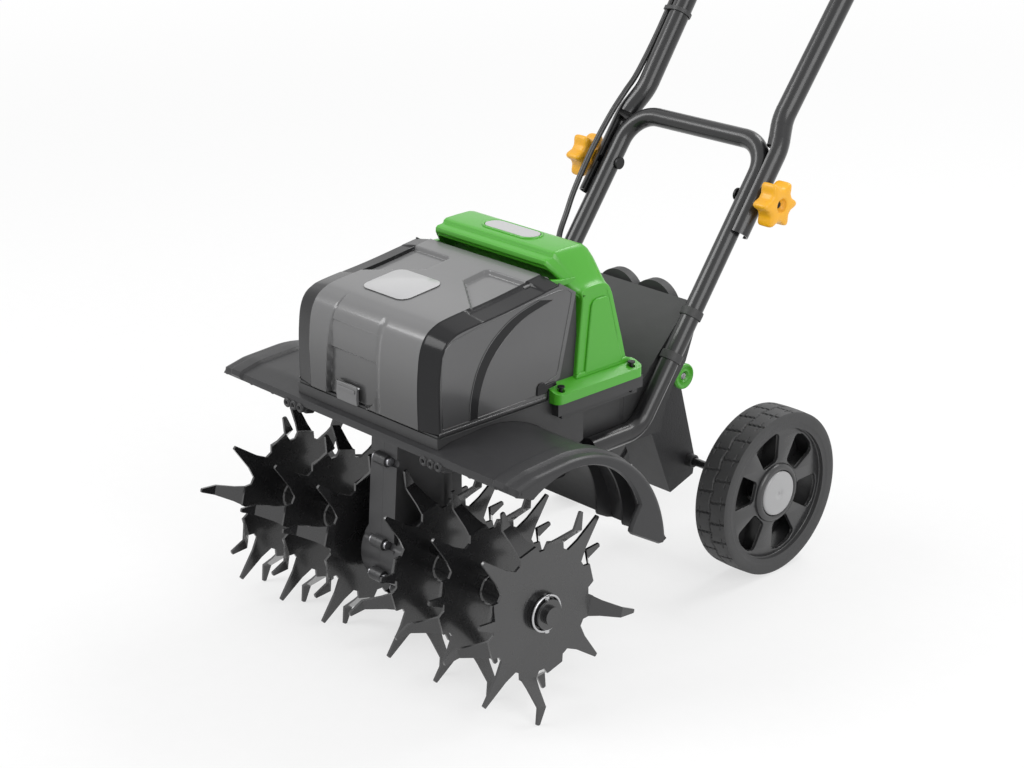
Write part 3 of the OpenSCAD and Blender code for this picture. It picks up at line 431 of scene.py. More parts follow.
deck_half = [(0.0, 0.0), (201.5, 0.0), (204.0, 2.6), (205.0, 3.0), (219.0, 3.0), (220.0, 2.6), (222.5, 0.0),
             (229.0, 0.0)]
stations = [deck_loop(x, rise, thin_wall(rise)) for x, rise in deck_half]
stations.append(deck_loop(231.0, 0.0, thin_wall()))
stations.append(deck_loop(231.0, 0.0, moved_in(shell_edge, [-1.6] * DECK_STEPS)))
stations.append(deck_loop(231.4, 0.0, moved_in(shell_edge, [-0.5] * DECK_STEPS)))
SHELL_ROUND, ROUND_STEPS = 5.4, 8
for k in range(1, ROUND_STEPS):
    turn = math.pi / 2 * k / ROUND_STEPS
    x = 231.6 + SHELL_ROUND * math.sin(turn)
    edge = moved_in(shell_edge, [-1.8 * max(0.0, math.sin(turn) - 0.45) / 0.55] * DECK_STEPS)
    stations.append(deck_loop(x, -SHELL_ROUND * (1 - math.cos(turn)), edge))
stations.append(deck_loop(DECK_HALF, -5.8, moved_in(shell_edge, [-2.6] * DECK_STEPS)))
deck_shell = new_piece("deck_shell", *lofted(stations), deck_black, "machine")
soften(deck_shell, 0.5, 2, 40)
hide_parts("deck")


def pushed(size):
    """Faces of an outline of size places pushed from one end to the other."""
    return [tuple(range(size)), tuple(range(2 * size - 1, size - 1, -1))] + skin(size, 2)


def prism(name, outline, x0, x1, material, body, edge=0.0, segments=3, angle=34):
    """A flat-sided part: a side outline of (y, z) places pushed from x0 to x1."""
    verts = [at(x0, *p) for p in outline] + [at(x1, *p) for p in outline]
    piece = new_piece(name, verts, pushed(len(outline)), material, body)
    if edge:
        soften(piece, edge, segments, angle)
    return piece


rib_top = moved_in(deck_top, [DECK_WALL - 0.4] * DECK_STEPS)
rib_low = along([(-58, 262.5), (-49, 264.5)] + arc_places(12, 170, 113, 124, -2, 40) + [(140, 158)], DECK_STEPS)
boss = [(-62.5, 259), (-52, 256.5), (-50, 258), (-50, 277.5), (-62.5, 274.5)]
socket = [(2.6, -68.0), (4.4, -68.0), (5.4, -67.0), (5.4, -58), (2.6, -58)]
for side, word in SIDES:
    for x, place in ((158.0, "inner"), (196.0, "outer")):
        prism(f"deck_rib_{place}_{word}", rib_top + rib_low[::-1], side * x, side * (x + 2.5), deck_black,
              "machine", 0.5, 2)
    prism(f"deck_screw_boss_{word}", boss, side * 95, side * 127, deck_black, "machine", 1.6, 4)
    for x in (100, 111, 122):
        ring_piece(f"deck_screw_socket_{word}_{x}", socket, 40, at(side * x, 0, 265.6), deck_black, "machine",
                   "y")
ring_piece("motor_well", [(43.4, 250.1), (49.0, 250.1), (50.0, 251.1), (50.0, 279.5), (43.4, 279.5)], 96,
           at(0, 37.5, 0), deck_black, "machine", "z")

# ---- lower housing ----
# The tub under the lid is black polypropylene with a fine spark-eroded grain. It sits on the
# deck, carries the battery tray and the lid hinge, and narrows behind the deck.

body_black = surface("body_black_pp", (0.028, 0.028, 0.029), 0.44, grain=1300, grain_depth=0.16, mottle=0.14,
                     mottle_scale=8, rough_spread=0.06)
dress("lower_housing", body_black, 1.3, 3)

# Seam lines, side panels and pads on the tub's sides
for side, word in SIDES:
    prism(f"tub_seam_{word}", [(-54, 288.6), (98, 288.6), (98, 289.8), (-54, 289.8)], side * 111.6, side * 112.9,
          body_black, "machine", 0.4, 2)
    prism(f"tub_side_panel_{word}", [(118, 268.5), (226, 268.5), (231, 264.8), (231, 263.4), (118, 263.4)],
          side * 111.8, side * 113.0, body_black, "machine", 0.5, 2)
    flank = [(112, 258), (222, 258), (228, 250), (228, 214), (220, 201), (170, 183), (118, 183), (112, 190)]
    prism(f"tub_flank_pad_{word}", flank, side * 91.6, side * 93.2, body_black, "machine", 0.8, 3)

# ---- battery bay ----
# A dark tray clips into the tub. Two slide-in packs stand side by side on it, each with a
# latch button in front, and blade contacts stand behind them.

bay_black = surface("bay_black_abs", (0.022, 0.022, 0.023), 0.5, grain=1100, grain_depth=0.12)
pack_black = surface("pack_black_nylon", (0.02, 0.02, 0.021), 0.38, grain=1600, grain_depth=0.14, mottle=0.2)
contact_brass = surface("contact_brass", (0.66, 0.50, 0.22), 0.28, metallic=1.0, grain=700)
button_orange = surface("button_orange_pa", (0.80, 0.33, 0.012), 0.38, coat=0.12, grain=900, grain_depth=0.08,
                        mottle=0.07)
dress("battery_tray", bay_black, 0.9)
dress("battery_contacts", contact_brass, 0.2)
for side, word in SIDES:
    dress(f"battery_pack_{word}", pack_black, 1.8, 4)
    for k in range(5):
        z = 338 + 5.2 * k
        prism(f"pack_{word}_rib_{k + 1}", [(-28.7, z), (-27.4, z), (-27.4, z + 2.2), (-28.7, z + 2.2)], side * 9,
              side * 73, pack_black, "machine", 0.5, 2)
    prism(f"pack_{word}_button", [(-29.4, 363.2), (-25.6, 362.4), (-25.6, 369.8), (-29.4, 369.0)], side * 28.6,
          side * 53.4, button_orange, "machine", 0.9, 3)
    prism(f"pack_{word}_seam", [(-18, 389.2), (78, 386.2), (78, 387.6), (-18, 390.3)], side * 8, side * 74,
          pack_black, "machine", 0.4, 2)

# ---- lid ----
# One smoked polycarbonate moulding, 2.5 mm thick and glossy outside: a hood with a sloping
# cheek along each side, a finger pocket in each cheek and a stepped recess for the latch.

# The lid is one grey moulding. The mid grey on the flanks and beads and the near black on the cheeks, rib and
# lugs are painted shade, and the hood and flanks also get painted shade darker towards the bottom.
smoke_grey = surface("smoke_grey_pc", (0.15, 0.15, 0.152), 0.24, coat=0.3, coat_rough=0.08, specular=0.35,
                     grain=260, grain_depth=0.03, mottle=0.07, mottle_scale=7, rough_spread=0.05,
                     painted_shade_below=(0.29, 0.40, 0.32))
smoke_deep_shade = surface("smoke_dark_pc", (0.012, 0.012, 0.013), 0.2, coat=0.12, coat_rough=0.1, grain=260,
                     grain_depth=0.03, mottle=0.1, rough_spread=0.04, specular=0.15)
smoke_mid_shade = surface("smoke_side_pc", (0.07, 0.07, 0.072), 0.24, coat=0.5, coat_rough=0.12, grain=320,
                     grain_depth=0.05, mottle=0.12, mottle_scale=11, rough_spread=0.07, painted_shade_below=(0.29, 0.36, 0.6))


def curve_through(points, per_span):
    """A smooth run of places through the given ones (Catmull-Rom)."""
    points = [Vector(p) for p in points]
    out = []
    for i in range(len(points) - 1):
        p0, p1 = points[max(i - 1, 0)], points[i]
        p2, p3 = points[i + 1], points[min(i + 2, len(points) - 1)]
        for k in range(per_span):
            t = k / per_span
            out.append(0.5 * ((2 * p1) + (p2 - p0) * t + (2 * p0 - 5 * p1 + 4 * p2 - p3) * t * t
                              + (3 * p1 - p0 - 3 * p2 + p3) * t ** 3))
    return out + [points[-1]]


def ease(value, low, high):
    t = min(1.0, max(0.0, (value - low) / (high - low)))
    return t * t * (3 - 2 * t)


LID_HALF, CHEEK, CHEEK_DROP = 112.6, 86.0, 5.6
LID_TURN, LID_ROUND = 111.0, 1.6
hood_line = curve_through([(-61, 293), (-61.6, 325), (-60.6, 352), (-57.2, 376), (-49.6, 391), (-37.6, 399.2),
                           (-20, 403.6), (40, 410.2), (84, 416.4), (111.8, 420.3)], 12)
hood_line = along([(p.x, p.y) for p in hood_line], 236)
hood_x = [CHEEK * k / 66 for k in range(67)] + [86.7 + 1.25 * k for k in range(20)]
hood_x += [111.2, 111.9, 112.3, LID_HALF]


def pocket_floor(x, y):
    """How far the finger pocket is sunk at a place on top of the lid."""
    x = abs(x)
    reach = min(ease(x - 27 - max(0.0, 56 - y) * 1.35, 0, 3.4), ease(90 - y, 0, 2.6))
    corner = ease(math.hypot(max(0.0, 44 - x), max(0.0, y - 72)), 22, 18)
    return 4.6 * min(reach, corner if x < 44 and y > 72 else 1.0) * ease(y, 4, 8)


def hood_sink(x, y, z):
    """How far the outside of the hood lies under its plain outline."""
    sink = 0.0
    wide = abs(x)
    if wide > CHEEK:
        sink = 0.5 * ease(wide, CHEEK, CHEEK + 0.9) + (CHEEK_DROP - 0.5) * ((wide - CHEEK) / (LID_TURN - CHEEK))
        if wide > LID_TURN:
            round_share = min(1.0, (wide - LID_TURN) / LID_ROUND)
            sink = CHEEK_DROP + LID_ROUND * (1 - math.sqrt(max(0.0, 1 - round_share ** 2)))
        if z > 400:
            steep = ease(y, 3, 6) * ease(y, 93, 90)
            sink += steep * 3.4 * ease(wide, CHEEK, CHEEK + 5) * (1 - (wide - CHEEK) / 30.0)
    elif z > 400:
        sink = pocket_floor(x, y)
    if z < 404 and y < -30:
        left = -60.0 + 7.0 * (z - 293) / 84.0
        inside = ease(x, left - 0.8, left + 1.0) * ease(x, 21.6, 19.8)
        if z < 318 and x > -5:
            inside *= ease(math.hypot(x + 5, 318 - z), 26.5, 24.5)
        upper = ease(z, 378.5, 376.0)
        step = 2.2 + 1.6 * ease(z, 374, 350) + 2.4 * ease(z, 347.6, 345.2)
        sink = max(sink, inside * upper * step)
        crease = 1.1 * ease(abs(x - left - 0.6), 1.2, 0.2) * ease(z, 377, 379) * ease(z, 402, 396)
        pillar = 1.3 * ease(x, 19.5, 21.5) * ease(x, 27.0 + 0.02 * (z - 300), 24.5) * ease(z, 292, 300)
        sink = max(sink, crease, pillar * ease(z, 399, 380))
    return sink


columns = [-x for x in reversed(hood_x[1:])] + hood_x
verts, faces = [], []
for i, (y, z) in enumerate(hood_line):
    a, b = hood_line[max(0, i - 1)], hood_line[min(len(hood_line) - 1, i + 1)]
    size = math.dist(a, b)
    ny, nz = -(b[1] - a[1]) / size, (b[0] - a[0]) / size
    for x in columns:
        sink = hood_sink(x, y, z)
        verts.append(at(x, y - ny * sink, z - nz * sink))
wide = len(columns)
for i in range(len(hood_line) - 1):
    for k in range(wide - 1):
        faces.append((i * wide + k, i * wide + k + 1, (i + 1) * wide + k + 1, (i + 1) * wide + k))


# The flanks close the hood at each side; their rear edge leans back behind the hinge
def add_flank(verts, faces, column, side):
    edge = [i * wide + column for i in range(len(hood_line))]
    low = [(96, 293), (97, 303.5), (115, 311), (121, 334.5), (127, 358), (133, 381.5), (138, 401), (128, 407.5),
           (114, 416)]
    start = len(verts)
    verts += [at(side * LID_HALF, *p) for p in low]
    loop = edge + list(range(start + len(low) - 1, start - 1, -1))
    faces.append(tuple(loop if side > 0 else loop[::-1]))


add_flank(verts, faces, 0, -1)
add_flank(verts, faces, wide - 1, 1)
lid_hood = new_piece("lid_hood", verts, faces, (smoke_grey, smoke_mid_shade, smoke_deep_shade), "lid")
# Flank faces take the mid grey and cheek faces the near black: painted shade on the one moulding.
for face in lid_hood.data.polygons:
    place = face.center
    if len(face.vertices) > 8:
        face.material_index = 1
    elif abs(place.x) > CHEEK * MM:
        face.material_index = 2
wall = lid_hood.modifiers.new("wall", "SOLIDIFY")
wall.thickness, wall.offset = 2.4 * MM, -1
flat = lid_hood.modifiers.new("even", "WEIGHTED_NORMAL")
flat.keep_sharp = True
lid_hood.data.set_sharp_from_angle(angle=math.radians(38))
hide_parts("lid")


def rod_piece(name, points, radius, sides, material, body):
    """A round rod along points in metres, radius in millimetres."""
    points = [Vector(p) for p in points]
    verts = []
    side_way = Vector((0.31, 0.17, 0.93))
    for i, p in enumerate(points):
        way = (points[min(i + 1, len(points) - 1)] - points[max(i - 1, 0)]).normalized()
        side_way = (side_way - way * side_way.dot(way)).normalized()
        up = way.cross(side_way)
        for k in range(sides):
            t = 2 * math.pi * k / sides
            verts.append(p + (side_way * math.cos(t) + up * math.sin(t)) * radius * MM)
    last = (len(points) - 1) * sides
    ends = [tuple(range(sides - 1, -1, -1)), tuple(range(last, last + sides))]
    return new_piece(name, verts, skin(sides, len(points)) + ends, material, body)


# Window beads, a curved rib, a corner lug and a foot bead stand on each flank
window = [(-51.5, 300), (-51.9, 340), (-51.2, 366), (-49.6, 375.5), (-45.2, 384.2), (-36.5, 389.4), (0, 396.2),
          (40, 401.6), (80, 406.0), (112, 408.4), (126, 406.6), (131.6, 401.8), (130.4, 393), (121.5, 358),
          (112.6, 322), (110.6, 315.4), (92, 309.8), (88, 300.4), (60, 299), (0, 298.2), (-50, 298)]
rib_outer = curve_through([(-14.6, 298), (-12.4, 322), (-4.6, 347), (9, 368), (28, 384.5), (52, 396.5),
                           (84, 404.6)], 8)
rib_inner = curve_through([(-3.6, 298), (-0.4, 322), (8.4, 345), (22, 363), (42, 379.5), (66, 391.6),
                           (104, 400.4)], 8)
# The beads take the flanks' mid grey and the rib and lugs the near black, both painted shade.
for side, word in SIDES:
    bead = [at(side * LID_HALF, *p) for p in window + window[:1]]
    rod_piece(f"lid_window_bead_{word}", bead, 0.75, 8, smoke_mid_shade, "lid")
    band = [tuple(p) for p in rib_outer + rib_inner[::-1]]
    prism(f"lid_side_rib_{word}", band, side * 112.0, side * 113.4, smoke_deep_shade, "lid", 0.6, 3, 60)
    for line, place in ((rib_outer, "outer"), (rib_inner, "inner")):
        rib_edge = [at(side * 113.0, *p) for p in line]
        rod_piece(f"lid_rib_edge_{place}_{word}", rib_edge, 0.55, 8, smoke_mid_shade, "lid")
    lug = [(80, 299.5), (81, 309), (84, 312.4), (90, 312.8), (94, 309), (108, 309.6), (110, 304.5), (97, 303.6),
           (95.8, 299.5)]
    prism(f"lid_corner_lug_{word}", lug, side * 110.4, side * 114.2, smoke_deep_shade, "lid", 1.0, 3)
    prism(f"lid_foot_bead_{word}", [(-56, 293.2), (94, 293.2), (94, 295.6), (-56, 295.6)], side * 112.0,
          side * 113.6, smoke_mid_shade, "lid", 0.7, 3)

# Hinge ears inside the lid, and its steel pins
for side, word in SIDES:
    ear = arc_places(114, 412, 5.6, -80, 100, 14) + [(104, 416.4), (84, 413.6), (84, 406)]
    prism(f"lid_ear_{word}", ear, side * 86.2, side * 91.8, smoke_grey, "lid", 0.5, 2)
dress("lid_hinge_pins", bright_steel, 0.3)


def rounded_plan(x0, x1, y0, y1, r, steps):
    """A rectangle in plan with rounded corners."""
    out = []
    for cx, cy, start in ((x1 - r, y0 + r, -90), (x1 - r, y1 - r, 0), (x0 + r, y1 - r, 90),
                          (x0 + r, y0 + r, 180)):
        out += arc_places(cx, cy, r, start, start + 90, steps)
    return out


# The bare plate where a sticker sits: pale grey vinyl with a narrow rim
label_grey = surface("label_grey_vinyl", (0.42, 0.42, 0.425), 0.33, coat=0.3, grain=600, grain_depth=0.04,
                     mottle=0.04)
dress("name_plate", label_grey, 0.35)
badge_verts = []
BADGE_Y, BADGE_Z, BADGE_SLOPE = -20, 404.5, math.radians(6.18)
for rise, inset in ((0.02, 0.0), (0.4, 0.0), (0.6, 0.25)):
    for x, run in rounded_plan(-52 + inset, 18 - inset, 1 + inset, 59 - inset, 12 - inset, 8):
        badge_verts.append(at(x, BADGE_Y + run * math.cos(BADGE_SLOPE) - rise * math.sin(BADGE_SLOPE),
                              BADGE_Z + run * math.sin(BADGE_SLOPE) + rise * math.cos(BADGE_SLOPE)))
badge_faces = [tuple(range(35, -1, -1)), tuple(range(72, 108))] + skin(36, 3)
badge = new_piece("lid_sticker", badge_verts, badge_faces, label_grey, "lid")
badge.data.set_sharp_from_angle(angle=math.radians(40))
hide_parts("lid_badge")

# Latch: a sprung tongue in the recess, turning on a steel pin
latch_grey = surface("latch_grey_abs", (0.12, 0.12, 0.122), 0.4, coat=0.2, grain=1200, grain_depth=0.1,
                     mottle=0.08)
tongue = [(-61.4, 291.6), (-59.2, 291.2), (-57.9, 293.5), (-57.9, 307.8), (-58.4, 311.2), (-59.6, 312.6),
          (-61.0, 311.8), (-62.0, 300.0)]
lid_tongue = prism("latch_tongue", tongue, -43, -10, latch_grey, "lid_latch", 0.8, 3)
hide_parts("lid_latch")
prism("latch_finger_bar", [(-62.7, 304.6), (-61.2, 304.4), (-61.1, 308.6), (-62.4, 308.2)], -40.5, -12.5,
      latch_grey, "lid_latch", 0.6, 3)
rod_piece("latch_pin", [at(-45.5, -58.5, 311), at(-8, -58.5, 311)], 1.1, 14, bright_steel, "lid")

# ---- bridge cover ----
# The bright green saddle behind the lid is moulded polypropylene. Its top bar hides the lid's
# hinge, its two legs carry a raised panel, and each flanged foot is held by two screws.

bridge_green = surface("bridge_green_pp", (0.058, 0.35, 0.016), 0.36, coat=0.22, coat_rough=0.2, grain=1200,
                       grain_depth=0.08, mottle=0.07, mottle_scale=9, rough_spread=0.05)
saddle_high = [(143, 300), (144.4, 316), (147.2, 345), (149.8, 370), (151.6, 392), (150.4, 409), (143.0, 414.8),
               (130, 421.2), (119.6, 426.2), (118.2, 428.6), (118.6, 432.6), (120.6, 434.4), (128.0, 435.2),
               (129.6, 436.2), (130.6, 438.8), (133.6, 440.4), (150, 441), (168, 441), (175, 439.4),
               (181.4, 434.6), (187.6, 426.4), (193, 415), (197, 405), (207, 370), (217.5, 335), (228, 300)]
saddle_low = [(143, 300), (144.4, 316), (147.2, 345), (149.4, 366), (151.0, 380), (151.4, 386), (150.9, 389.0),
              (150.2, 391.4), (149.7, 393.2), (149.6, 394.6), (149.9, 396.0), (150.7, 397.2), (152.0, 398.2),
              (154.0, 399.2), (156.4, 400.0), (159.4, 400.6), (166, 401.2), (176, 401.3), (182, 400.6),
              (187.2, 398.8), (191.4, 395.8), (194.4, 391.6), (197.2, 385.6), (203.6, 364), (213.6, 330.6),
              (222.0, 300)]


SADDLE_MIDDLE, SADDLE_WALL, SADDLE_FOOT = 172, 3.0, 300.0


def saddle_loop(x, blend, inset=0.0):
    outer = [((1 - blend) * a[0] + blend * b[0], (1 - blend) * a[1] + blend * b[1])
             for a, b in zip(saddle_high, saddle_low)]
    outer = moved_in(outer, [inset] * len(outer)) if inset else outer
    inner = []
    for i, (y, z) in enumerate(outer):
        wall = SADDLE_WALL if i < 8 else -SADDLE_WALL if i > 20 else 0.0
        low = max(SADDLE_FOOT, z - 4.0) if 8 <= i <= 21 else z
        inner.append((y + (SADDLE_MIDDLE - y) * 0.06 + wall, low))
    inner[0], inner[-1] = (inner[0][0], SADDLE_FOOT), (inner[-1][0], SADDLE_FOOT)
    return [(x, *p) for p in outer] + [(x, *p) for p in reversed(inner)]


saddle_half = [(0.0, 0.0), (60.0, 0.0), (84.0, 0.0), (86.0, 0.03), (88.0, 0.1), (90.5, 0.22), (94.0, 0.42),
               (98.0, 0.64), (101.5, 0.82), (104.0, 0.92), (106.0, 0.97), (107.6, 1.0)]
stations = [saddle_loop(x, blend) for x, blend in saddle_half]
stations += [saddle_loop(108.6, 1.0, 0.25), saddle_loop(109.4, 1.0, 0.9), saddle_loop(109.8, 1.0, 1.8)]
saddle = new_piece("bridge_saddle", *lofted(stations), bridge_green, "machine")
soften(saddle, 0.9, 3, 36)
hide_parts("bridge_cover")


def carve(piece, verts, faces):
    """Cuts a closed shape out of a piece for good."""
    mesh = bpy.data.meshes.new("cutter")
    mesh.from_pydata([tuple(v) for v in verts], [], faces)
    face_outwards(mesh)
    cutter = put("cutter", mesh)
    cut = piece.modifiers.new("cut", "BOOLEAN")
    cut.object, cut.operation, cut.solver = cutter, "DIFFERENCE", "EXACT"
    while piece.modifiers.find("cut") > 0:
        with bpy.context.temp_override(object=piece, active_object=piece):
            bpy.ops.object.modifier_move_up(modifier="cut")
    shown = [(m, m.show_viewport) for m in piece.modifiers if m.name != "cut"]
    for modifier, _ in shown:
        modifier.show_viewport = False
    bpy.context.view_layer.update()
    done = piece.evaluated_get(bpy.context.evaluated_depsgraph_get())
    fresh = bpy.data.meshes.new_from_object(done)
    for modifier, state in shown:
        modifier.show_viewport = state
    piece.modifiers.remove(cut)
    old, piece.data = piece.data, fresh
    bpy.data.meshes.remove(old)
    bpy.data.objects.remove(cutter)
    bpy.data.meshes.remove(mesh)
    for face in fresh.polygons:
        face.use_smooth = True


screw_black = surface("screw_black_oxide", (0.03, 0.03, 0.031), 0.35, metallic=0.8, grain=900)
FOOT_LOW, FOOT_TOP, FOOT_LEAN, SCREW_SEAT = 286.1, 302.4, 0.34, 299.0
screw_hole = [(0.01, SCREW_SEAT - 4), (4.4, SCREW_SEAT - 4), (4.4, SCREW_SEAT), (6.2, 303.5), (0.01, 303.5)]
side_wall = [(y, max(300.5, z)) for y, z in moved_in(saddle_low, [0.5] * len(saddle_low))]
for side, word in SIDES:
    x0, x1 = sorted((side * 104.5, side * 125.0))
    plan = rounded_plan(x0, x1, 100.6, 232.8, 7.5, 6)
    verts = [at(x, y, FOOT_LOW) for x, y in plan]
    verts += [at(x, y, FOOT_TOP - FOOT_LEAN * (abs(x) - 108)) for x, y in plan]
    foot = new_piece(f"bridge_foot_{word}", verts, pushed(len(plan)), bridge_green, "machine")
    soften(foot, 3.0, 5)
    for y in (112, 220):
        carve(foot, *spun(screw_hole, 40, at(side * 117.5, y, 0), "z"))
    panel = [(154.6, 304), (159.6, 350), (163.0, 378), (166.0, 383.6), (171, 385.6), (184.0, 385.6),
             (188.4, 383.4), (191.4, 377.6), (199.0, 350), (213.4, 304)]
    prism(f"bridge_panel_{word}", panel, side * 108.8, side * 112.0, bridge_green, "machine", 1.9, 4)
    skirt = [(141.5, 301), (142.4, 305.5), (146.6, 307.5), (219.6, 307.5), (224.4, 305.0), (228, 301)]
    prism(f"bridge_skirt_{word}", skirt, side * 104.0, side * 111.4, bridge_green, "machine", 1.8, 4)
    prism(f"bridge_side_{word}", side_wall, side * 104.5, side * 109.5, bridge_green, "machine", 1.2, 3, 60)
    prism(f"bridge_ear_{word}", arc_places(114, 411.5, 4.2, 90, 270, 12) + [(126, 406), (150, 407), (150, 412),
          (128, 413)], side * 93.6, side * 99.9, bridge_green, "machine", 0.6, 2)
dress("body_screws", screw_black, 0.4)

# Raised rim round the bare plate
stadium = []
for k in range(73):
    t = 2 * math.pi * k / 72
    cx = 26 if math.cos(t) > 0 else -26
    stadium.append((cx + 14.4 * math.cos(t), 154 + 13.6 * math.sin(t)))
rod_piece("bridge_plate_rim", [at(x, y, 440.9) for x, y in stadium], 1.5, 10, bridge_green, "machine")

# ---- rear housing ----
# A matt black trough behind the tub carries the handle's feet. A screwed cover with two round
# humps closes the controller space, and four clips hold it to the handle's tubes.

matt_black = surface("matt_black_pp", (0.03, 0.03, 0.031), 0.55, grain=900, grain_depth=0.22, mottle=0.1,
                     rough_spread=0.05)
dress("rear_housing", matt_black, 1.2, 3)
dress("rear_cover", matt_black, 1.6, 3)
dress("bar_clips", matt_black, 0.7, 2)
hump_rim = [(28.2, 361.8), (29.6, 362.0), (30.2, 362.4), (29.8, 363.0), (27.0, 363.2), (26.0, 362.8),
            (26.0, 361.8)]
for side, word in SIDES:
    ring_piece(f"rear_hump_rim_{word}", hump_rim, 64, at(side * 28.5, 0, 312), matt_black, "machine", "y")

# ---- leg ----
# The wheels hang on a box-shaped leg of welded sheet in textured black paint. It swings on a
# pin between two cheeks, and a sprung pin with a green knob locks it.

leg_black = surface("leg_black_powder", (0.03, 0.03, 0.032), 0.46, metallic=0.1, grain=420, grain_depth=0.3,
                    mottle=0.1, rough_spread=0.06)
dress("wheel_leg", leg_black, 1.0, 3)
dress("leg_bracket", leg_black, 0.7, 2)
dress("leg_pivot_pin", zinc_steel, 0.6)
dress("lock_pin", bright_steel, 0.3)
knob_lo, knob_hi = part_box("lock_knob")
knob_place = Vector((0, (knob_lo.y + knob_hi.y) / 2, (knob_lo.z + knob_hi.z) / 2))
dish = [(4.6, 43.4), (8.4, 43.4), (9.0, 44.0), (9.0, 47.4), (10.4, 48.6), (14.2, 48.9), (15.3, 49.8),
        (15.5, 51.2), (15.5, 53.4), (15.0, 54.8), (13.8, 55.4), (12.6, 55.0), (11.4, 54.0), (8.6, 53.7),
        (7.6, 54.0), (7.0, 54.6), (6.5, 54.5), (6.4, 52.6), (4.6, 52.4)]
lock_dish = ring_piece("lock_knob_dish", dish, 72, knob_place, bridge_green, "leg_lock")
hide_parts("lock_knob")

# ---- wheels ----
# Each wheel is a black polypropylene rim with six windows under a soft tyre with blocks in two
# rows. It turns on a round steel axle behind a collar, and a pale cap covers the axle's end.

dress("wheel_axle", tine_black, 0.5)
dress("axle_collars", body_black, 0.7, 3)
tyre_rubber = surface("tyre_rubber", (0.04, 0.04, 0.041), 0.6, grain=500, grain_depth=0.2, mottle=0.16,
                      rough_spread=0.08)
rim_black = surface("rim_black_pp", (0.026, 0.026, 0.027), 0.3, coat=0.3, coat_rough=0.2, grain=900,
                    grain_depth=0.08, mottle=0.12)
cap_grey = surface("cap_grey_abs", (0.36, 0.36, 0.365), 0.34, coat=0.2, grain=700, grain_depth=0.05, mottle=0.05)
axle_lo, axle_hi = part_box("wheel_axle")
AXLE = Vector((0, (axle_lo.y + axle_hi.y) / 2, (axle_lo.z + axle_hi.z) / 2))
TYRE_R, TYRE_IN, TYRE_OUT, TREAD = 99.8, 125.2, 170.8, 1.9


def groove(turn, across):
    """How deep the tread is cut, from 0 to 1, at a turn in radians and a place across, -1 to 1."""
    pitch = 24
    phase = turn * pitch / (2 * math.pi)
    middle = 0.06 * (abs((phase * 2) % 2 - 1) * 2 - 1)
    deep = ease(abs(across - middle), 0.052, 0.03)
    row = 0.0 if across > middle else 0.5
    part = abs((phase + row + 0.16 * across) % 1.0 - 0.5)
    cross = ease(part, 0.055, 0.035) * ease(abs(across), 0.96, 0.9)
    notch = ease(abs(abs(across) - 0.66), 0.03, 0.012) * ease(part, 0.30, 0.27) * ease(part, 0.05, 0.08)
    return max(deep, cross, notch * 0.8)


def tyre(name, side, replaced, body):
    turns, lanes = 540, 44
    verts = []
    half = (TYRE_OUT - TYRE_IN) / 2
    centre = side * (TYRE_IN + TYRE_OUT) / 2
    wall = [(1.0, 4.6), (1.0, 8.0), (0.985, 10.0), (0.99, 12.2), (0.97, 13.8), (0.94, 15.0), (0.94, 20.0)]
    for k in range(turns):
        t = 2 * math.pi * k / turns
        loop = [(-w, depth) for w, depth in reversed(wall)] + [(-0.985, 2.4), (-0.95, 0.9)]
        for j in range(lanes + 1):
            across = -0.92 + 1.84 * j / lanes
            crown = 0.9 * across * across
            loop.append((across, crown + TREAD * groove(t, across)))
        loop += [(0.95, 0.9), (0.985, 2.4)] + wall
        for s, depth in loop:
            r = TYRE_R - depth
            verts.append(AXLE + Vector((centre + s * half, r * math.cos(t), r * math.sin(t))) * MM)
    piece = new_piece(name, verts, skin(len(verts) // turns, turns, closed=True), tyre_rubber, body)
    piece.data.set_sharp_from_angle(angle=math.radians(50))
    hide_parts(replaced)


def plate_with_windows(name, side, x0, x1, outer_r, windows, material, body, edge):
    """A round plate with openings: a filled outline, thickened, with rounded edges."""
    curve = bpy.data.curves.new(name, "CURVE")
    curve.dimensions, curve.fill_mode = "2D", "BOTH"
    curve.extrude = (x1 - x0) / 2 * MM - edge * MM
    curve.bevel_depth, curve.bevel_resolution = edge * MM, 2
    curve.offset = -edge * MM
    for ring in [arc_places(0, 0, outer_r, 0, 357, 119)] + windows:
        line = curve.splines.new("POLY")
        line.points.add(len(ring) - 1)
        for point, (u, v) in zip(line.points, ring):
            point.co = (u * MM, v * MM, 0, 1)
        line.use_cyclic_u = True
    holder = put(name + "_outline", curve)
    bpy.context.view_layer.update()
    mesh = bpy.data.meshes.new_from_object(holder.evaluated_get(bpy.context.evaluated_depsgraph_get()))
    bpy.data.objects.remove(holder)
    bpy.data.curves.remove(curve)
    middle = side * (x0 + x1) / 2 * MM
    mesh.transform(Matrix(((0, 0, 1, middle), (1, 0, 0, AXLE.y), (0, 1, 0, AXLE.z), (0, 0, 0, 1))))
    face_outwards(mesh, 1e-5)
    mesh.materials.clear()
    mesh.materials.append(material)
    piece = put(name, mesh)
    for face in mesh.polygons:
        face.use_smooth, face.material_index = True, 0
    mesh.set_sharp_from_angle(angle=math.radians(40))
    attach(piece, body)


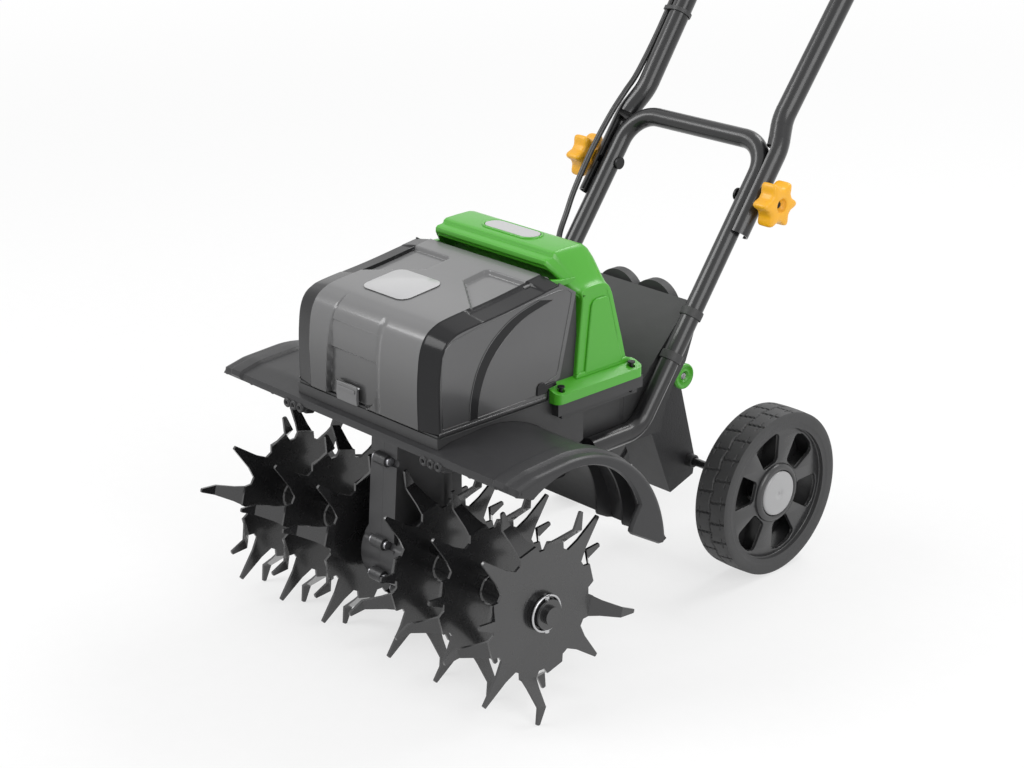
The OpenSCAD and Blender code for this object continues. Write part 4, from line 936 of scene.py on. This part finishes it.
def window_outline(middle, r0, r1, half_in, half_out, corner):
    """A window between two radii with rounded corners, wider outside; angles in degrees."""
    corners = [(r0, -half_in), (r1, -half_out), (r1, half_out), (r0, half_in)]
    flat = [arc_places(0, 0, r, middle + a, 0, 1)[0] for r, a in corners]
    out = []
    for i, here in enumerate(flat):
        before, after = Vector(flat[i - 1]), Vector(flat[(i + 1) % 4])
        here = Vector(here)
        a, b = (before - here).normalized(), (after - here).normalized()
        turn = math.acos(max(-1, min(1, a.dot(b)))) / 2
        reach = corner / math.tan(turn)
        hub = here + (a + b).normalized() * corner / math.sin(turn)
        start, end = here + a * reach - hub, here + b * reach - hub
        for k in range(7):
            mix = start.lerp(end, k / 6).normalized() * corner
            out.append(tuple(hub + mix))
        if i == 1:
            for k in range(1, 6):
                t = math.radians(middle - half_out * 0.8 + 1.6 * half_out * k / 6)
                out.append((r1 * math.cos(t), r1 * math.sin(t)))
    return out


WINDOWS, WINDOW_TURN, RIB_TURN, RIB_HALF = 6, 45, 15, 1.3
RIB = ((34.5, 160.0), (79.4, 160.0), (79.4, 132.0), (20.5, 132.0))
windows = [window_outline(WINDOW_TURN + 60 * k, 39.5, 76.0, 18.0, 17.0, 6.0) for k in range(WINDOWS)]
for side, word in SIDES:
    body = f"wheel_{word}"
    tyre(f"tread_{word}", side, f"tyre_{word}", body)
    drum = [(79.2, 126.6), (84.4, 126.6), (85.2, 127.4), (85.2, 168.2), (84.4, 169.2), (83.0, 169.4),
            (82.4, 168.4), (82.0, 165.0), (79.4, 164.4), (78.8, 163.4), (78.8, 128.0)]
    rim_drum = ring_piece(f"rim_drum_{word}", [(r, side * h) for r, h in drum], 120, AXLE, rim_black, body)
    soften(rim_drum, 0.4, 2, 50)
    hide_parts(f"rim_{word}")
    plate_with_windows(f"rim_plate_{word}", side, 157.5, 162.8, 79.6, windows, rim_black, body, 1.0)
    plate_with_windows(f"rim_back_plate_{word}", side, 130.0, 133.0, 79.4, windows, rim_black, body, 0.6)
    hub = [(5.3, 125.6), (13.0, 125.6), (14.0, 126.6), (16.5, 134.0), (20.0, 150.0), (33.0, 157.0),
           (36.4, 161.6), (35.8, 164.8), (34.2, 166.8), (31.0, 167.6), (28.6, 167.4), (27.8, 166.0),
           (27.4, 163.0), (5.3, 162.6)]
    ring_piece(f"rim_hub_{word}", [(r, side * h) for r, h in hub], 96, AXLE, rim_black, body)
    cap = [(0.02, 163.2), (26.6, 163.2), (27.0, 163.6), (27.0, 166.8), (26.4, 168.0), (25.2, 168.8),
           (23.0, 169.0), (18.0, 169.5), (9.0, 170.0), (0.02, 170.2)]
    hub_cap = ring_piece(f"cap_{word}", [(r, side * h) for r, h in cap], 80, AXLE, cap_grey, body)
    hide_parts(f"hub_cap_{word}")
    for k in range(WINDOWS):
        turn = math.radians(RIB_TURN + 60 * k)
        verts = []
        for offset in (-RIB_HALF, RIB_HALF):
            for r, x in RIB:
                y = r * math.cos(turn) - offset * math.sin(turn)
                z = r * math.sin(turn) + offset * math.cos(turn)
                verts.append(AXLE + Vector((side * x, y, z)) * MM)
        soften(new_piece(f"rim_rib_{word}_{k + 1}", verts, pushed(4), rim_black, body), 0.5, 2)

# ---- lower handle ----
# A hoop of 22 mm steel tube with glossy black powder paint is bolted into the rear housing. Its
# cross-bar lies just above the pivot of the upper handle.

tube_black = surface("tube_black_powder", (0.013, 0.013, 0.014), 0.3, coat=0.3, coat_rough=0.14, specular=0.35,
                     grain=300, grain_depth=0.012, mottle=0.15, mottle_scale=6, rough_spread=0.06)
dress("lower_handle", tube_black, 0.4, 2)
dress("handle_bolts", screw_black, 0.8, 3)

# ---- upper handle ----
# A hoop of 25 mm tube widens at its lower ends into half channels that lie over the lower hoop.
# A foam grip sits on its cross-bar, and the switch box is clamped on the left tube.

dress("upper_handle", tube_black, 0.4, 2)
grip_foam = surface("grip_foam", (0.02, 0.02, 0.021), 0.85, grain=520, grain_depth=0.5, mottle=0.25,
                    mottle_scale=60)
dress("handle_grip", grip_foam, 1.6, 3)
dress("switch_box", body_black, 1.8, 4)
dress("lock_button", button_orange, 0.8, 3)
dress("bail_lever", tube_black, 0.3)
dress("cable_ties", body_black, 0.3)

SLOPE = math.radians(53.7)
PIVOT_Y, PIVOT_Z = 418.0, 447.0


def on_handle(x, v, n):
    """A place in the handle's plane: across, up the slope from the pivot, out of its front."""
    y = PIVOT_Y + v * math.cos(SLOPE) - n * math.sin(SLOPE)
    return at(x, y, PIVOT_Z + v * math.sin(SLOPE) + n * math.cos(SLOPE))


# ---- star knobs ----
# Orange glass-filled nylon knobs with six lobes clamp the two hoops together. Each has a flanged
# neck, hollow flanks and a round socket over the end of its bolt.

knob_orange = surface("knob_orange_nylon", (0.83, 0.40, 0.008), 0.42, coat=0.15, coat_rough=0.25, grain=1300,
                      grain_depth=0.12, mottle=0.08, mottle_scale=30, rough_spread=0.05)
LOBES, LOBE_DEPTH, LOBE_FLAT, LOBE_SHIFT = 6, 4.0, 0.9, 0.6
for side, word in SIDES:
    rings = [(4.3, 129.5, 0), (9.4, 129.5, 0), (10.0, 130.1, 0), (10.0, 131.0, 0), (9.4, 131.8, 0),
             (9.2, 132.6, 0), (10.6, 133.2, 0), (15.0, 134.2, 0.35), (19.6, 135.4, 0.8), (22.2, 136.6, 1.0),
             (23.4, 138.4, 1.0), (23.6, 142.0, 1.0), (23.6, 150.0, 1.0), (23.2, 153.2, 1.0),
             (22.2, 155.2, 1.0), (20.0, 156.3, 0.85), (16.0, 156.8, 0.4), (10.6, 156.95, 0),
             (8.6, 156.8, 0), (8.0, 156.2, 0), (8.0, 152.2, 0), (4.3, 152.0, 0)]
    count = 144
    verts = []
    for r, h, lobe in rings:
        for k in range(count):
            t = 2 * math.pi * k / count
            wave = LOBE_DEPTH * math.cos(LOBES * t) + LOBE_FLAT * math.cos(2 * LOBES * t) - LOBE_SHIFT
            reach = r + lobe * wave
            verts.append(on_handle(side * h, reach * math.cos(t), reach * math.sin(t)))
    knob = new_piece(f"lobe_knob_{word}", verts, skin(count, len(rings), closed=True), knob_orange,
                     f"knob_{word}")
    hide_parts(f"star_knob_{word}")

# ---- switch cable ----
# A round 7 mm black cable runs from the switch box down beside the left tube. Two ties hold it,
# and below the pivot it loops round the knob and enters the rear housing through a gland.

cable_black = surface("cable_black_pvc", (0.018, 0.018, 0.0185), 0.42, coat=0.15, grain=700, grain_depth=0.12,
                      mottle=0.2, mottle_scale=30)
cable_way = [(-129, 435.6, 0), (-128.9, 420, 0), (-128.8, 380, 1), (-128.6, 340, 2), (-127, 280, 3),
             (-124.4, 220, 5), (-121.8, 160, 6), (-120, 110, 9.6), (-120.4, 84, 14.4), (-122, 50, 18.6),
             (-123, 0, 20.6), (-122.6, -50, 18.4), (-121, -80, 15), (-116, -105, 16), (-104, -125, 20),
             (-90, -140, 20), (-77, -153, 14), (-72, -158, 5), (-72, -158, -4), (-72, -158, -14)]
path = [on_handle(*p) for p in curve_through(cable_way, 10)]
CABLE_R = 3.5
cable = rod_piece("switch_lead", path, CABLE_R, 20, cable_black, "machine")
cable.parent = None
del cable["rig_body"]
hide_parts("switch_cable")
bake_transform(cable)
